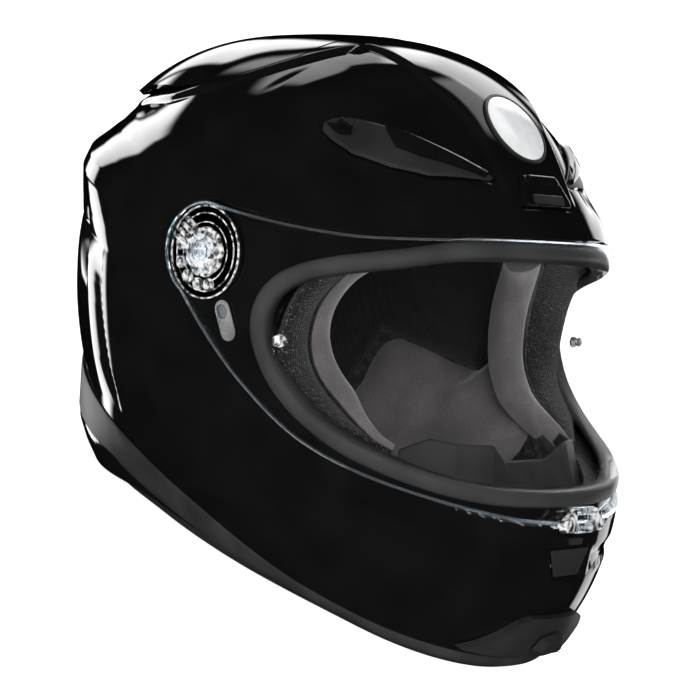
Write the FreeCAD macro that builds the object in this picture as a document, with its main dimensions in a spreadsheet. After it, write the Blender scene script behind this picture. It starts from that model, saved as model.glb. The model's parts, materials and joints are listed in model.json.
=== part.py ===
import FreeCAD, Part
import math
import os
import re

import Sketcher

# Full-face motorcycle helmet, millimetres.
# Row frame: the helmet rests on z = 0, its mid-plane is x = 0 and it faces -Y.
# Most places are given in the pivot frame instead: (x, forward, up) counted from the
# axis on which the visor turns.  at() turns a pivot-frame place into the row frame.

doc = FreeCAD.newDocument("motorcycle_helmet")
sheet = doc.addObject("Spreadsheet::Sheet", "Dimensions")

DIMENSIONS = (
    ("half_width", 124.0),
    ("roundness", 2.1),
    ("jaw_taper", 0.185),
    ("taper_start", -25.0),
    ("taper_span", 135.0),
    ("pivot_height", 152.0),
    ("pivot_setback", 5.0),
    ("base_level", -160.0),
    ("inner_base_level", -146.0),
    ("reach_nape_low", 187.0),
    ("reach_neck_rear", 203.0),
    ("reach_neck_front", 223.6),
    ("reach_jaw_low", 224.3),
    ("reach_chin", 210.0),
    ("reach_mouth", 161.2),
    ("reach_eyes", 130.0),
    ("reach_brow", 116.7),
    ("reach_forehead", 110.5),
    ("reach_hairline", 111.0),
    ("reach_crown", 112.4),
    ("reach_crown_rear", 114.0),
    ("reach_rear_top", 130.0),
    ("reach_rear", 154.1),
    ("reach_nape", 173.2),
    ("shell_thickness", 3.2),
    ("visor_recess", 2.6),
    ("liner_gap", 0.4),
    ("liner_depth", 34.0),
    ("chin_liner_depth", 22.0),
    ("visor_inner", 0.5),
    ("visor_outer", 2.9),
    ("insert_inner", -0.9),
    ("insert_outer", 0.2),
    ("gasket_face", -1.2),
    ("gasket_back", -9.5),
    ("trim_face", 1.5),
    ("trim_web_back", -9.0),
    ("pivot_pin_radius", 5.0),
    ("running_clearance", 0.05),
    ("base_plate_radius", 22.5),
    ("pivot_cap_radius", 7.5),
    ("pivot_cap_height", 1.6),
    ("webbing_width", 25.0),
    ("webbing_thickness", 2.0),
    ("ring_wire_radius", 2.0),
    ("ring_half_width", 15.0),
    ("ring_depth", 20.0),
    ("ring_loop_radius", 4.2),
    ("strap_rivet_radius", 4.0),
    ("core_hole_radius", 6.0),
    ("snap_radius", 5.0),
    ("sleeve_length", 34.0),
    ("sleeve_wall", 2.2),
    ("brow_plate_length", 46.0),
    ("brow_plate_width", 17.0),
    ("brow_plate_height", 3.0),
    ("brow_track_length", 24.0),
    ("brow_track_width", 8.0),
    ("track_depth", 1.6),
    ("slider_height", 1.7),
    ("slider_grip_height", 1.4),
    ("scoop_width", 38.0),
    ("scoop_height", 5.0),
    ("scoop_mouth_length", 12.0),
    ("scoop_mouth_width", 26.0),
    ("scoop_mouth_depth", 2.6),
    ("grille_height", 2.2),
    ("grille_slot_length", 15.0),
    ("grille_slot_width", 1.6),
    ("grille_slot_depth", 1.2),
    ("button_height", 4.0),
    ("insert_pin_radius", 1.5),
    ("insert_pin_head_radius", 3.0),
    ("lever_length", 20.0),
    ("lever_width", 9.0),
    ("lever_height", 1.3),
    ("lever_rounding", 4.4),
    ("tab_height", 4.0),
    ("tab_slot_length", 6.0),
    ("tab_slot_width", 11.0),
    ("latch_length", 3.8),
    ("latch_width", 10.8),
    ("latch_height", 4.6),
    ("catch_length", 3.0),
    ("catch_width", 8.0),
    ("catch_height", 2.4),
    ("throat_radius", 95.0),
    ("tool_height", 30.0),
    ("outline_reach", 150.0),
)
for row, (alias, value) in enumerate(DIMENSIONS, start=1):
    sheet.set("A%d" % row, alias.replace("_", " "))
    sheet.set("B%d" % row, str(value))
    sheet.setAlias("B%d" % row, alias)
doc.recompute()


def dim(alias):
    return float(getattr(sheet, alias))


def amount(size):
    """Millimetres of a size given as a number or as the name of a dimension."""
    return dim(size) if isinstance(size, str) else float(size)


def bind(item, **sizes):
    """Set sizes of an object; text is an expression in the names of the dimensions."""
    for prop, size in sizes.items():
        if isinstance(size, str):
            item.setExpression(prop, re.sub(r"([a-z]\w+)", r"Dimensions.\1", size))
        else:
            setattr(item, prop, size)
    doc.recompute()


# ---------------------------------------------------------------- helmet form
# Seen from the side, the mid-plane outline is a smooth closed curve: its distance from
# the pivot axis is given at fifteen bearings (0 = forwards, 90 = up, 180 = backwards).
PROFILE = (
    (-140, "reach_nape_low"), (-110, "reach_neck_rear"), (-80, "reach_neck_front"),
    (-55, "reach_jaw_low"), (-35, "reach_chin"), (-15, "reach_mouth"), (5, "reach_eyes"),
    (25, "reach_brow"), (45, "reach_forehead"), (65, "reach_hairline"), (90, "reach_crown"),
    (115, "reach_crown_rear"), (140, "reach_rear_top"), (165, "reach_rear"), (190, "reach_nape"),
)


def periodic_spline(bearings, values):
    """Cubic spline over a full turn of bearings, in degrees."""
    count = len(bearings)
    gap = [(bearings[(i + 1) % count] - bearings[i]) % 360.0 for i in range(count)]
    matrix = [[0.0] * count for _ in range(count)]
    rhs = [0.0] * count
    for i in range(count):
        after = (i + 1) % count
        matrix[i][i - 1] += gap[i - 1]
        matrix[i][i] += 2.0 * (gap[i - 1] + gap[i])
        matrix[i][after] += gap[i]
        rise = (values[after] - values[i]) / gap[i]
        rhs[i] = 6.0 * (rise - (values[i] - values[i - 1]) / gap[i - 1])
    for col in range(count):
        for low in range(col + 1, count):
            factor = matrix[low][col] / matrix[col][col]
            for k in range(col, count):
                matrix[low][k] -= factor * matrix[col][k]
            rhs[low] -= factor * rhs[col]
    bend = [0.0] * count
    for i in reversed(range(count)):
        known = sum(matrix[i][k] * bend[k] for k in range(i + 1, count))
        bend[i] = (rhs[i] - known) / matrix[i][i]

    def value(bearing):
        past = (bearing - bearings[0]) % 360.0
        i = 0
        while i < count - 1 and past >= gap[i]:
            past -= gap[i]
            i += 1
        after = (i + 1) % count
        b = past / gap[i]
        a = 1.0 - b
        curve = (a ** 3 - a) * bend[i] + (b ** 3 - b) * bend[after]
        return a * values[i] + b * values[after] + curve * gap[i] ** 2 / 6.0

    return value


reach = periodic_spline([p[0] for p in PROFILE], [dim(p[1]) for p in PROFILE])
HALF_WIDTH = dim("half_width")
ROUNDNESS = dim("roundness")


def at(x, forward, up):
    """Pivot-frame place as a row-frame vector."""
    return FreeCAD.Vector(x, dim("pivot_setback") - forward, dim("pivot_height") + up)


def bearing_of(forward, up):
    return math.degrees(math.atan2(up, forward))


def taper(up):
    """The jaw draws in below the pivot."""
    fall = (dim("taper_start") - up) / dim("taper_span")
    return 1.0 - dim("jaw_taper") * min(max(fall, 0.0), 2.0) ** 1.5


def half_breadth(forward, up, offset):
    """Half the form's width at a side-view place, with the form grown by offset."""
    ratio = math.hypot(forward, up) / (reach(bearing_of(forward, up)) + offset)
    room = max(1.0 - ratio ** ROUNDNESS, 0.0)
    return (HALF_WIDTH + offset) * taper(up) * room ** (1.0 / ROUNDNESS)


def outline_reach(up, side, offset):
    """How far forward (side 1) or back (side -1) the grown form reaches at a height."""
    low, high = 0.0, 300.0
    for _ in range(40):
        middle = (low + high) / 2.0
        forward = side * middle
        if math.hypot(forward, up) < reach(bearing_of(forward, up)) + offset:
            low = middle
        else:
            high = middle
    return side * low


RING_POINTS = 24
RING_LEVELS = 12


def form_ring(up, offset):
    front = outline_reach(up, 1, offset)
    back = outline_reach(up, -1, offset)
    middle = (front + back) / 2.0
    span = (front - back) / 2.0
    points = []
    for k in range(RING_POINTS):
        turn = 2.0 * math.pi * k / RING_POINTS
        forward = middle + span * math.cos(turn)
        side = 0.0 if k % (RING_POINTS // 2) == 0 else math.copysign(1.0, math.sin(turn))
        points.append(at(side * half_breadth(forward, up, offset), forward, up))
    curve = Part.BSplineCurve()
    knots = [k / RING_POINTS for k in range(RING_POINTS + 1)]
    curve.interpolate(Points=points, PeriodicFlag=True, Parameters=knots)
    return Part.Wire(curve.toShape())


def form_shape(offset):
    """The helmet form grown by offset, lofted from level rings up to the crown."""
    crest = max(range(600, 1200), key=lambda t: (reach(t / 10) + offset) * math.sin(math.radians(t / 10)))
    angle = math.radians(crest / 10)
    radius = reach(crest / 10) + offset
    peak = radius * math.sin(angle)
    base = dim("base_level") if offset > -12.0 else dim("inner_base_level")
    rings = []
    for k in range(RING_LEVELS):
        rise = math.sin(k / RING_LEVELS * math.pi / 2.0)
        rings.append(form_ring(base + (peak - base) * rise, offset))
    apex = Part.Vertex(at(0.0, radius * math.cos(angle), peak))
    return Part.makeLoft(rings + [apex], True, False)


def add_shape(name, shape):
    """Computed shape as a document object."""
    feature = doc.addObject("Part::Feature", name)
    feature.Shape = shape
    feature.Placement = FreeCAD.Placement()
    return feature


forms = {}


def form(offset):
    key = round(offset, 2)
    if key not in forms:
        name = "form_" + ("out_" if key >= 0 else "in_") + str(abs(key)).replace(".", "_")
        forms[key] = add_shape(name, form_shape(key))
    return forms[key]


# ---------------------------------------------------------------- building helpers
def boolean(kind, name, base, tools):
    """Chain of two-piece booleans; the last link carries the name."""
    for index, tool in enumerate(tools):
        link = name if index == len(tools) - 1 else name + "_step%d" % index
        step = doc.addObject(kind, link)
        step.Base = base
        step.Tool = tool
        step.Refine = False
        doc.recompute()
        if step.Shape.isNull() or not step.Shape.Solids:
            raise RuntimeError(link + " has no solid")
        base = step
    return base


def cut(name, base, *tools):
    return boolean("Part::Cut", name, base, tools)


def common(name, base, *tools):
    return boolean("Part::Common", name, base, tools)


def fuse(name, base, *tools):
    return boolean("Part::Fuse", name, base, tools)


def mirrored(name, source):
    copy = doc.addObject("Part::Mirroring", name)
    copy.Source = source
    copy.Normal = FreeCAD.Vector(1, 0, 0)
    copy.Base = FreeCAD.Vector(0, 0, 0)
    doc.recompute()
    return copy


def layer(name, outline, inner, outer):
    """The part of the form between two offsets that lies inside a side-view outline."""
    block = common(name + "_block", form(outer), outline)
    return cut(name, block, form(inner))


def smooth_curve(places):
    curve = Part.BSplineCurve()
    curve.interpolate([at(0.0, f, u) for f, u in places])
    return curve.toShape()


def corner_line(places):
    return Part.makePolygon([at(0.0, f, u) for f, u in places])


def side_block(name, edges, left=-1.0, right=1.0):
    """Solid whose side view is a closed outline; left and right are shares of the reach."""
    wire = Part.Wire(Part.__sortEdges__([e for item in edges for e in item.Edges]))
    reach_x = dim("outline_reach")
    face = Part.Face(wire)
    face.translate(FreeCAD.Vector(left * reach_x, 0, 0))
    return add_shape(name, face.extrude(FreeCAD.Vector((right - left) * reach_x, 0, 0)))


def polygon_block(name, places, left=-1.0, right=1.0):
    return side_block(name, [corner_line(list(places) + [places[0]])], left, right)


def rod(name, x_low, x_high, forward, up, radius):
    """Cylinder along X at a side-view place."""
    body = doc.addObject("Part::Cylinder", name)
    body.Placement = FreeCAD.Placement(at(x_low, forward, up), FreeCAD.Rotation(FreeCAD.Vector(0, 1, 0), 90))
    bind(body, Radius=radius, Height=x_high - x_low)
    return body


def surface_point(forward, up, offset=0.0, side=-1):
    return at(side * half_breadth(forward, up, offset), forward, up)


def surface_normal(forward, up, side=-1):
    """Outward unit normal of the form at a side-view place."""
    step = 0.5
    here = surface_point(forward, up, 0.0, side)
    ahead = surface_point(forward + step, up, 0.0, side) - here
    above = surface_point(forward, up + step, 0.0, side) - here
    normal = ahead.cross(above)
    normal.normalize()
    return normal if normal.x * side > 0 else normal * -1.0


def local_placement(origin, outward, along):
    """Placement whose Z points outward and whose X runs as close as it can to along."""
    z_axis = FreeCAD.Vector(outward)
    z_axis.normalize()
    x_axis = along - z_axis * along.dot(z_axis)
    x_axis.normalize()
    y_axis = z_axis.cross(x_axis)
    turn = FreeCAD.Matrix(x_axis.x, y_axis.x, z_axis.x, 0, x_axis.y, y_axis.y, z_axis.y, 0,
                          x_axis.z, y_axis.z, z_axis.z, 0, 0, 0, 0, 1)
    return FreeCAD.Placement(origin, FreeCAD.Placement(turn).Rotation)


def origin_plane(body, role):
    return [f for f in body.Origin.OriginFeatures if f.Role == role][0]


def flat_sketch(body, name, places, height=0.0):
    """Closed polygon on a plane parallel to the body's XY plane."""
    sketch = body.newObject("Sketcher::SketchObject", name)
    sketch.AttachmentSupport = (origin_plane(body, "XY_Plane"), [""])
    sketch.MapMode = "FlatFace"
    sketch.AttachmentOffset = FreeCAD.Placement(FreeCAD.Vector(0, 0, height), FreeCAD.Rotation())
    count = len(places)
    for k in range(count):
        start = FreeCAD.Vector(places[k][0], places[k][1], 0)
        end = FreeCAD.Vector(places[(k + 1) % count][0], places[(k + 1) % count][1], 0)
        sketch.addGeometry(Part.LineSegment(start, end), False)
    for k in range(count):
        sketch.addConstraint(Sketcher.Constraint("Coincident", k, 2, (k + 1) % count, 1))
    return sketch


def rectangle(length, width, middle_x=0.0, middle_y=0.0):
    a, b = length / 2.0, width / 2.0
    return [(middle_x - a, middle_y - b), (middle_x + a, middle_y - b),
            (middle_x + a, middle_y + b), (middle_x - a, middle_y + b)]


def rectangle_sketch(body, name, length, width, middle_x=0.0, height=0.0):
    """Rectangle about (middle_x, 0) whose two sides are driven sizes."""
    sketch = flat_sketch(body, name, rectangle(amount(length), amount(width), middle_x), height)
    for kind, edge in (("Horizontal", 0), ("Horizontal", 2), ("Vertical", 1), ("Vertical", 3)):
        sketch.addConstraint(Sketcher.Constraint(kind, edge))
    for kind, edge, size in (("DistanceX", 0, length), ("DistanceY", 1, width)):
        side = sketch.addConstraint(Sketcher.Constraint(kind, edge, 1, edge, 2, amount(size)))
        if isinstance(size, str):
            bind(sketch, **{"Constraints[%d]" % side: size})
    start_x = middle_x - amount(length) / 2.0
    sketch.addConstraint(Sketcher.Constraint("DistanceX", -1, 1, 0, 1, start_x))
    sketch.addConstraint(Sketcher.Constraint("DistanceY", -1, 1, 0, 1, -amount(width) / 2.0))
    return sketch


def pad(body, sketch, name, length):
    feature = body.newObject("PartDesign::Pad", name)
    feature.Profile = sketch
    bind(feature, Length=length)
    return feature


def pocket(body, sketch, name, length):
    """Pocket cut downwards from the sketch."""
    before = body.Shape.Volume
    feature = body.newObject("PartDesign::Pocket", name)
    feature.Profile = sketch
    bind(feature, Length=length)
    if body.Shape.Volume > before - 1e-3:
        feature.Reversed = True
        doc.recompute()
    return feature


def round_edges(body, name, radius, wanted):
    """Fillet on the body's edges for which wanted(edge) is true."""
    tip = body.Tip
    names = ["Edge%d" % (k + 1) for k, e in enumerate(tip.Shape.Edges) if wanted(e)]
    feature = body.newObject("PartDesign::Fillet", name)
    feature.Base = (tip, names)
    bind(feature, Radius=radius)
    return feature


def new_body(name, placement):
    body = doc.addObject("PartDesign::Body", name)
    body.Placement = placement
    doc.recompute()
    return body


def plate_body(name, placement, places, bottom, height):
    """Plate with a polygon outline, from bottom upwards in its local frame."""
    body = new_body(name, placement)
    sketch = flat_sketch(body, name + "_outline", places, height=bottom)
    pad(body, sketch, name + "_pad", height)
    return body


def bar_body(name, placement, length, width, height, middle_x=0.0):
    """Rectangular block about (middle_x, 0) of its local frame."""
    body = new_body(name, placement)
    sketch = rectangle_sketch(body, name + "_outline", length, width, middle_x)
    pad(body, sketch, name + "_pad", height)
    return body


finished = {}


def finish(name, item):
    item.Label = name
    finished[name] = item
    return item


# ---------------------------------------------------------------- side-view outlines
FAR = 230.0
VISOR_TOP = ((-6, 23), (25, 27), (48, 31), (69, 36), (93, 45), (106, 51), (FAR, 100))
VISOR_FOOT = ((-6, -22), (26, -41), (51, -53), (76, -62), (104, -66), (147, -67.5), (176, -70), (FAR, -74))
PORT_TOP = ((44, -2), (54, 12), (87, 33), (107, 46), (FAR, 96))
PORT_FOOT = ((44, -22), (56, -40), (75, -51), (101, -57.5), (143, -60), (168, -57), (FAR, -50))
SHELL_FOOT = ((-FAR, -146), (-92, -147), (-40, -143), (40, -141.5), (90, -142.5), (140, -146.5), (FAR, -146))
TRIM_TOP = ((-FAR, -98), (-84, -113), (-11, -123), (46, -133), (102, -140), (150, -140), (FAR, -133))
REST_LEVEL = -dim("pivot_height")


def visor_block(name, grow):
    """Everything behind the visor's outline: a round ear about the pivot that opens forwards."""
    rear = -23.5 - grow
    top = [(f, u + grow) for f, u in VISOR_TOP]
    foot = [(f, u - grow) for f, u in VISOR_FOOT]
    ear = Part.Arc(at(0, *top[0]), at(0, rear, 3), at(0, *foot[0])).toShape()
    nose = corner_line([top[-1], foot[-1]])
    return side_block(name, [smooth_curve(top), nose, smooth_curve(foot), ear])


def port_block(name, grow):
    """The eye opening, grown evenly in the side view."""
    top = [(PORT_TOP[0][0] - grow, -7)] + [(f - 0.5 * grow, u + 0.85 * grow) for f, u in PORT_TOP[1:]]
    foot = [(PORT_FOOT[0][0] - grow, -17)] + [(f - 0.5 * grow, u - 0.85 * grow) for f, u in PORT_FOOT[1:]]
    rear = corner_line([top[0], foot[0]])
    nose = corner_line([top[-1], foot[-1]])
    return side_block(name, [smooth_curve(top), nose, smooth_curve(foot), rear])


def above_block(name, line, lift=0.0):
    """Everything above a rising and falling side-view line."""
    raised = [(f, u + lift) for f, u in line]
    roof = corner_line([raised[-1], (FAR, FAR), (-FAR, FAR), raised[0]])
    return side_block(name, [smooth_curve(raised), roof])


# ---------------------------------------------------------------- shell
RECESS_DEPTH = -dim("visor_recess")
SHELL_BACK = -dim("shell_thickness")
RECESS_BACK = RECESS_DEPTH + SHELL_BACK + 0.8
shell_room = above_block("shell_room", SHELL_FOOT)
port_cut = port_block("port_cut", 0.0)


def recessed(name, outer, floor, grow):
    """The form at outer, stepped down to floor inside the visor's outline."""
    area = fuse(name + "_area", visor_block(name + "_visor_area", grow),
                rod(name + "_ear_area", -150, 150, 0, 0, 25.5 + grow))
    proud = cut(name + "_proud", form(outer), area)
    sunk = common(name + "_sunk", form(floor), area)
    return fuse(name, proud, sunk)


shell_outside = recessed("shell_outside", 0.0, RECESS_DEPTH, 1.0)
shell_inside = recessed("shell_inside", SHELL_BACK, RECESS_BACK, 5.0)
shell_raw = cut("shell_raw", common("shell_block", shell_outside, shell_room), shell_inside, port_cut)


# ---------------------------------------------------------------- vents: places and frames
BROW_PLACE = (36.0, 73.0)
BROW_AIM = FreeCAD.Vector(0, -1, -0.25)
SCOOP_BEARING = 38.5
POCKET_DEPTH = 2.2
SEAT_GAP = 0.05
SIDE_GAP = 0.3


def brow_frame(lift=0.0):
    normal = surface_normal(*BROW_PLACE)
    return local_placement(surface_point(*BROW_PLACE) + normal * lift, normal, BROW_AIM)


def midplane_frame(bearing, lift=0.0):
    """Frame on the mid-plane outline: Z outward, X up along the outline."""
    angle = math.radians(bearing)
    radius = reach(bearing)
    ahead = math.radians(bearing + 0.5)
    here = at(0, radius * math.cos(angle), radius * math.sin(angle))
    there_radius = reach(bearing + 0.5)
    there = at(0, there_radius * math.cos(ahead), there_radius * math.sin(ahead))
    along = there - here
    outward = FreeCAD.Vector(0, along.z, -along.y)
    if outward.dot(here - at(0, 0, 0)) < 0:
        outward = outward * -1.0
    outward.normalize()
    return local_placement(here + outward * lift, outward, along)


def brow_outline(grow):
    """Teardrop seen square on: blunt at the back, drawn out to a point at the front."""
    a = dim("brow_plate_length") / 2.0 + grow
    b = dim("brow_plate_width") / 2.0 + grow
    return [(-a, -0.1 * b), (-0.75 * a, -0.9 * b), (-0.1 * a, -b), (a, -0.25 * b),
            (a, 0.15 * b), (-0.1 * a, b), (-0.8 * a, 0.75 * b)]


def scoop_outline(grow):
    half = dim("scoop_width") / 2.0 + grow
    rise = 8.0 + grow
    return [(-rise, -half), (rise, -0.75 * half), (rise, 0.75 * half), (-rise, half)]


CHIN_BEARING = -27.0


def chin_outline(grow):
    """Trapezoid, wider at its upper edge."""
    return [(-8 - grow, -10 - grow), (6 + grow, -16 - grow), (6 + grow, 16 + grow), (-8 - grow, 10 + grow)]


def shell_pocket(name, frame, outline):
    return plate_body(name, frame, outline, 0.0, "tool_height")


SCOOP_FLOOR = midplane_frame(SCOOP_BEARING, -POCKET_DEPTH)
CHIN_FLOOR = midplane_frame(CHIN_BEARING, -POCKET_DEPTH)
brow_pocket = shell_pocket("brow_pocket", brow_frame(-POCKET_DEPTH), brow_outline(SIDE_GAP))
brow_pocket_left = mirrored("brow_pocket_left", brow_pocket)
scoop_pocket = shell_pocket("scoop_pocket", SCOOP_FLOOR, scoop_outline(SIDE_GAP))
chin_pocket = shell_pocket("chin_pocket", CHIN_FLOOR, chin_outline(SIDE_GAP))
vent_pockets = (brow_pocket, brow_pocket_left, scoop_pocket, chin_pocket)
finish("outer_shell", cut("outer_shell_shape", shell_raw, *vent_pockets))


# ---------------------------------------------------------------- vent covers and sliders
def slider_body(name, placement, length, width, grip):
    """Flat slider with a raised ridge across it for the fingertip."""
    body = bar_body(name, placement, length, width, "slider_height")
    ridge = rectangle_sketch(body, name + "_ridge", grip, width - 1.0, height=dim("slider_height"))
    pad(body, ridge, name + "_grip", "slider_grip_height")
    return body


def sunk_pocket(body, name, length, width, middle_x, surface, depth):
    """Rectangular recess about (middle_x, 0), cut down from a surface height."""
    outline = rectangle_sketch(body, name, length, width, middle_x, surface)
    return pocket(body, outline, name + "_cut", depth)


brow_cover = plate_body("brow_vent_right_body", brow_frame(-POCKET_DEPTH), brow_outline(0.0), SEAT_GAP,
                        "brow_plate_height")
sunk_pocket(brow_cover, "brow_track", "brow_track_length", "brow_track_width", -6.0,
            dim("brow_plate_height") + SEAT_GAP, "track_depth")
finish("brow_vent_cover_right", brow_cover)
finish("brow_vent_cover_left", mirrored("brow_vent_left_mirror", brow_cover))

BROW_SLIDER_SHUT = -11.0
slider_start = brow_frame(-POCKET_DEPTH + 1.5)
slider_start.move(slider_start.Rotation.multVec(FreeCAD.Vector(BROW_SLIDER_SHUT, 0, 0)))
brow_slider = slider_body("brow_slider_right_body", slider_start, 13.0, 7.6, 3.0)
finish("brow_vent_slider_right", brow_slider)
finish("brow_vent_slider_left", mirrored("brow_slider_left_mirror", brow_slider))

scoop = plate_body("centre_scoop_body", SCOOP_FLOOR, scoop_outline(0.0), SEAT_GAP, "scoop_height")
sunk_pocket(scoop, "scoop_mouth", "scoop_mouth_length", "scoop_mouth_width", -2.4,
            dim("scoop_height") + SEAT_GAP, "scoop_mouth_depth")
finish("centre_vent_scoop", scoop)
SCOOP_SLIDER_SHUT = -5.0
scoop_start = midplane_frame(SCOOP_BEARING, -POCKET_DEPTH + 2.5)
scoop_start.move(scoop_start.Rotation.multVec(FreeCAD.Vector(SCOOP_SLIDER_SHUT, 0, 0)))
scoop_slider = slider_body("centre_slider_body", scoop_start, 6.0, 25.6, 1.6)
finish("centre_vent_slider", scoop_slider)

# ---------------------------------------------------------------- rear spoiler and exhaust
spoiler_side = ((-46, 130), (-46, 98), (-96, 62), (-118, 38), (-170, 36), (-190, 130))
moved_form = add_shape("form_moved_back", form_shape(0.0))
SPOILER_SHIFT = FreeCAD.Vector(0, 5.0, -1.0)
moved_form.Placement.Base = SPOILER_SHIFT
spoiler_room = common("spoiler_room", moved_form, polygon_block("spoiler_side", spoiler_side))
rear_spoiler = cut("rear_spoiler_shape", spoiler_room, form(0.2))
finish("rear_spoiler", rear_spoiler)

exhaust_side = ((-100, 33), (-100, 20), (-190, 8), (-190, 33))
exhaust_band = layer("exhaust_band", polygon_block("exhaust_side", exhaust_side, -0.22, 0.22), 0.2, 3.2)
EXHAUST_SLOT = ((-130, 29), (-130, 24), (-190, 17), (-190, 22))
EXHAUST_SLOT_PITCH = 12.8
EXHAUST_SLOT_HALF = 4.6
exhaust = exhaust_band
for k in (-3, -1, 1, 3):
    middle = EXHAUST_SLOT_PITCH * k / 2.0 / dim("outline_reach")
    half = EXHAUST_SLOT_HALF / dim("outline_reach")
    slot = polygon_block("exhaust_slot_block_%d" % (k + 3), EXHAUST_SLOT, middle - half, middle + half)
    exhaust = cut("exhaust_vent_cut_%d" % (k + 3), exhaust, slot)
finish("rear_exhaust_vent", exhaust)

# ---------------------------------------------------------------- impact liner
LINER_FACE = SHELL_BACK - dim("liner_gap")
LINER_RECESS_FACE = RECESS_BACK - dim("liner_gap")
LINER_BACK = -dim("liner_depth")
liner_outside = recessed("liner_outside", LINER_FACE, LINER_RECESS_FACE, 6.0)
gasket_room = port_block("gasket_room", 5.5)
CAP_AREA = ((-FAR, FAR), (-FAR, -114), (-66, -114), (-58, -44), (44, -38), (44, 12), (56, 20), (90, 42),
            (107, 55), (FAR, 110), (FAR, FAR))
cap_block = common("cap_block", liner_outside, polygon_block("cap_area", CAP_AREA))
impact_liner = cut("impact_liner_shape", cap_block, form(LINER_BACK), gasket_room)
finish("impact_liner", impact_liner)

CHIN_AREA = ((64, -132), (64, -20), (FAR, -20), (FAR, -132))
chin_block = common("chin_block", liner_outside, polygon_block("chin_area", CHIN_AREA))
chin_liner = cut("chin_liner_shape", chin_block, form(-dim("chin_liner_depth")), gasket_room)
finish("chin_liner", chin_liner)

CHEEK_AREA = ((-54, -132), (-50, -48), (40, -44), (60, -60), (60, -132))
cheek_right = polygon_block("cheek_area_right", CHEEK_AREA, -1.0, 0.0)
cheek_core_block = common("cheek_core_block", liner_outside, cheek_right)
cheek_core = cut("cheek_core_shape", cheek_core_block, form(-14.0), gasket_room)

# ---------------------------------------------------------------- comfort lining
CHEEK_PAD_AREA = ((-50, -133), (-46, -46), (38, -42), (56, -54), (56, -133))
TEMPLE_WING_AREA = ((44.6, -56), (44.6, -3), (51, -4), (52, -24), (62, -42), (74, -50), (74, -56))
JAW_WING_AREA = ((55, -120), (55, -53), (70, -49.5), (94, -58), (94, -120))
PAD_INNER = -42.0
pad_layers = (("pad_main", CHEEK_PAD_AREA, -18.0), ("pad_temple", TEMPLE_WING_AREA, -23.0),
              ("pad_jaw", JAW_WING_AREA, -23.0))
pad_pieces = [layer(name, polygon_block(name + "_area", area, -1.0, 0.0), PAD_INNER, face)
              for name, area, face in pad_layers]
cheek_pad = fuse("cheek_pad_shape", *pad_pieces)
finish("cheek_pad_right", cheek_pad)
finish("cheek_pad_left", mirrored("cheek_pad_left_mirror", cheek_pad))

CROWN_AREA = ((-FAR, FAR), (-FAR, -60), (-60, -60), (-50, -36), (34, -32), (34, 20), (56, 36), (FAR, 110),
              (FAR, FAR))
crown_block = polygon_block("crown_area", CROWN_AREA)
crown_pad = layer("crown_pad_shape", crown_block, LINER_BACK - 9.0, LINER_BACK - 0.5)
finish("crown_lining", crown_pad)

NECK_AREA = ((-FAR, -134), (-FAR, -117), (-68, -117), (-68, -134))
neck_roll = layer("neck_roll_shape", polygon_block("neck_area", NECK_AREA), -34.0, -12.0)
finish("neck_roll", neck_roll)

# ---------------------------------------------------------------- eye opening gasket
flange_room = port_block("flange_room", 4.5)
inner_port = port_block("inner_port", -3.5)
gasket_block = common("gasket_block", form(dim("gasket_face")), flange_room)
gasket_ring = cut("gasket_ring", gasket_block, form(dim("gasket_back")), inner_port)
web_port = port_block("web_port", -0.15)
shell_edge_outer = cut("shell_edge_outer", form(RECESS_DEPTH + 0.1), web_port)
shell_edge = cut("shell_edge", shell_edge_outer, form(RECESS_BACK - 0.1))
gasket = cut("gasket_shape", gasket_ring, shell_edge)
finish("eyeport_gasket", gasket)

# ---------------------------------------------------------------- edge trim
CHANNEL_GAP = 0.1
below_trim_top = corner_line([TRIM_TOP[-1], (FAR, -FAR), (-FAR, -FAR), TRIM_TOP[0]])
trim_top = side_block("trim_top", [smooth_curve(TRIM_TOP), below_trim_top])
floor_line = [(-FAR, REST_LEVEL), (-92, REST_LEVEL), (-60, -149), (-20, -147), (40, -146.5), (90, -147.5),
              (138, REST_LEVEL), (FAR, REST_LEVEL), (FAR, FAR), (-FAR, FAR)]
trim_band = common("trim_band", form(dim("trim_face")), trim_top, polygon_block("trim_floor", floor_line))
seat = above_block("trim_seat", SHELL_FOOT, -CHANNEL_GAP)
flange_top = above_block("trim_flange_top", SHELL_FOOT, 8.0)
above_seat = common("above_seat", form(CHANNEL_GAP), seat)
trim_outer = cut("trim_outer", trim_band, form(dim("trim_web_back")), above_seat)
flange_block = common("flange_block", form(SHELL_BACK - CHANNEL_GAP), seat)
trim_flange = cut("trim_flange", flange_block, form(SHELL_BACK - 1.8), flange_top)
edge_trim = fuse("edge_trim_shape", trim_outer, trim_flange)
finish("edge_trim", edge_trim)


# ---------------------------------------------------------------- visor and its fittings
def peg(name, place, low, high, radius, side=-1):
    """Cylinder along the surface normal, between two distances from the form."""
    normal = surface_normal(*place, side=side)
    foot = surface_point(*place, side=side) + normal * low
    body = doc.addObject("Part::Cylinder", name)
    body.Placement = local_placement(foot, normal, FreeCAD.Vector(0, 0, 1))
    bind(body, Radius=radius, Height=high - low)
    return body


PIN_PLACE = (56.0, -22.0)
VISOR_INNER = dim("visor_inner")
VISOR_OUTER = dim("visor_outer")
visor_band = layer("visor_band", visor_block("visor_area", 0.0), VISOR_INNER, VISOR_OUTER)
pivot_hole = rod("pivot_hole", -150, 150, 0, 0, "pivot_pin_radius + running_clearance")
PIN_HOLE = "insert_pin_radius + 2 * running_clearance"
pin_hole_right = peg("pin_hole_right", PIN_PLACE, -5, 8, PIN_HOLE)
pin_hole_left = peg("pin_hole_left", PIN_PLACE, -5, 8, PIN_HOLE, side=1)
finish("visor", cut("visor_shape", visor_band, pivot_hole, pin_hole_right, pin_hole_left))

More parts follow.
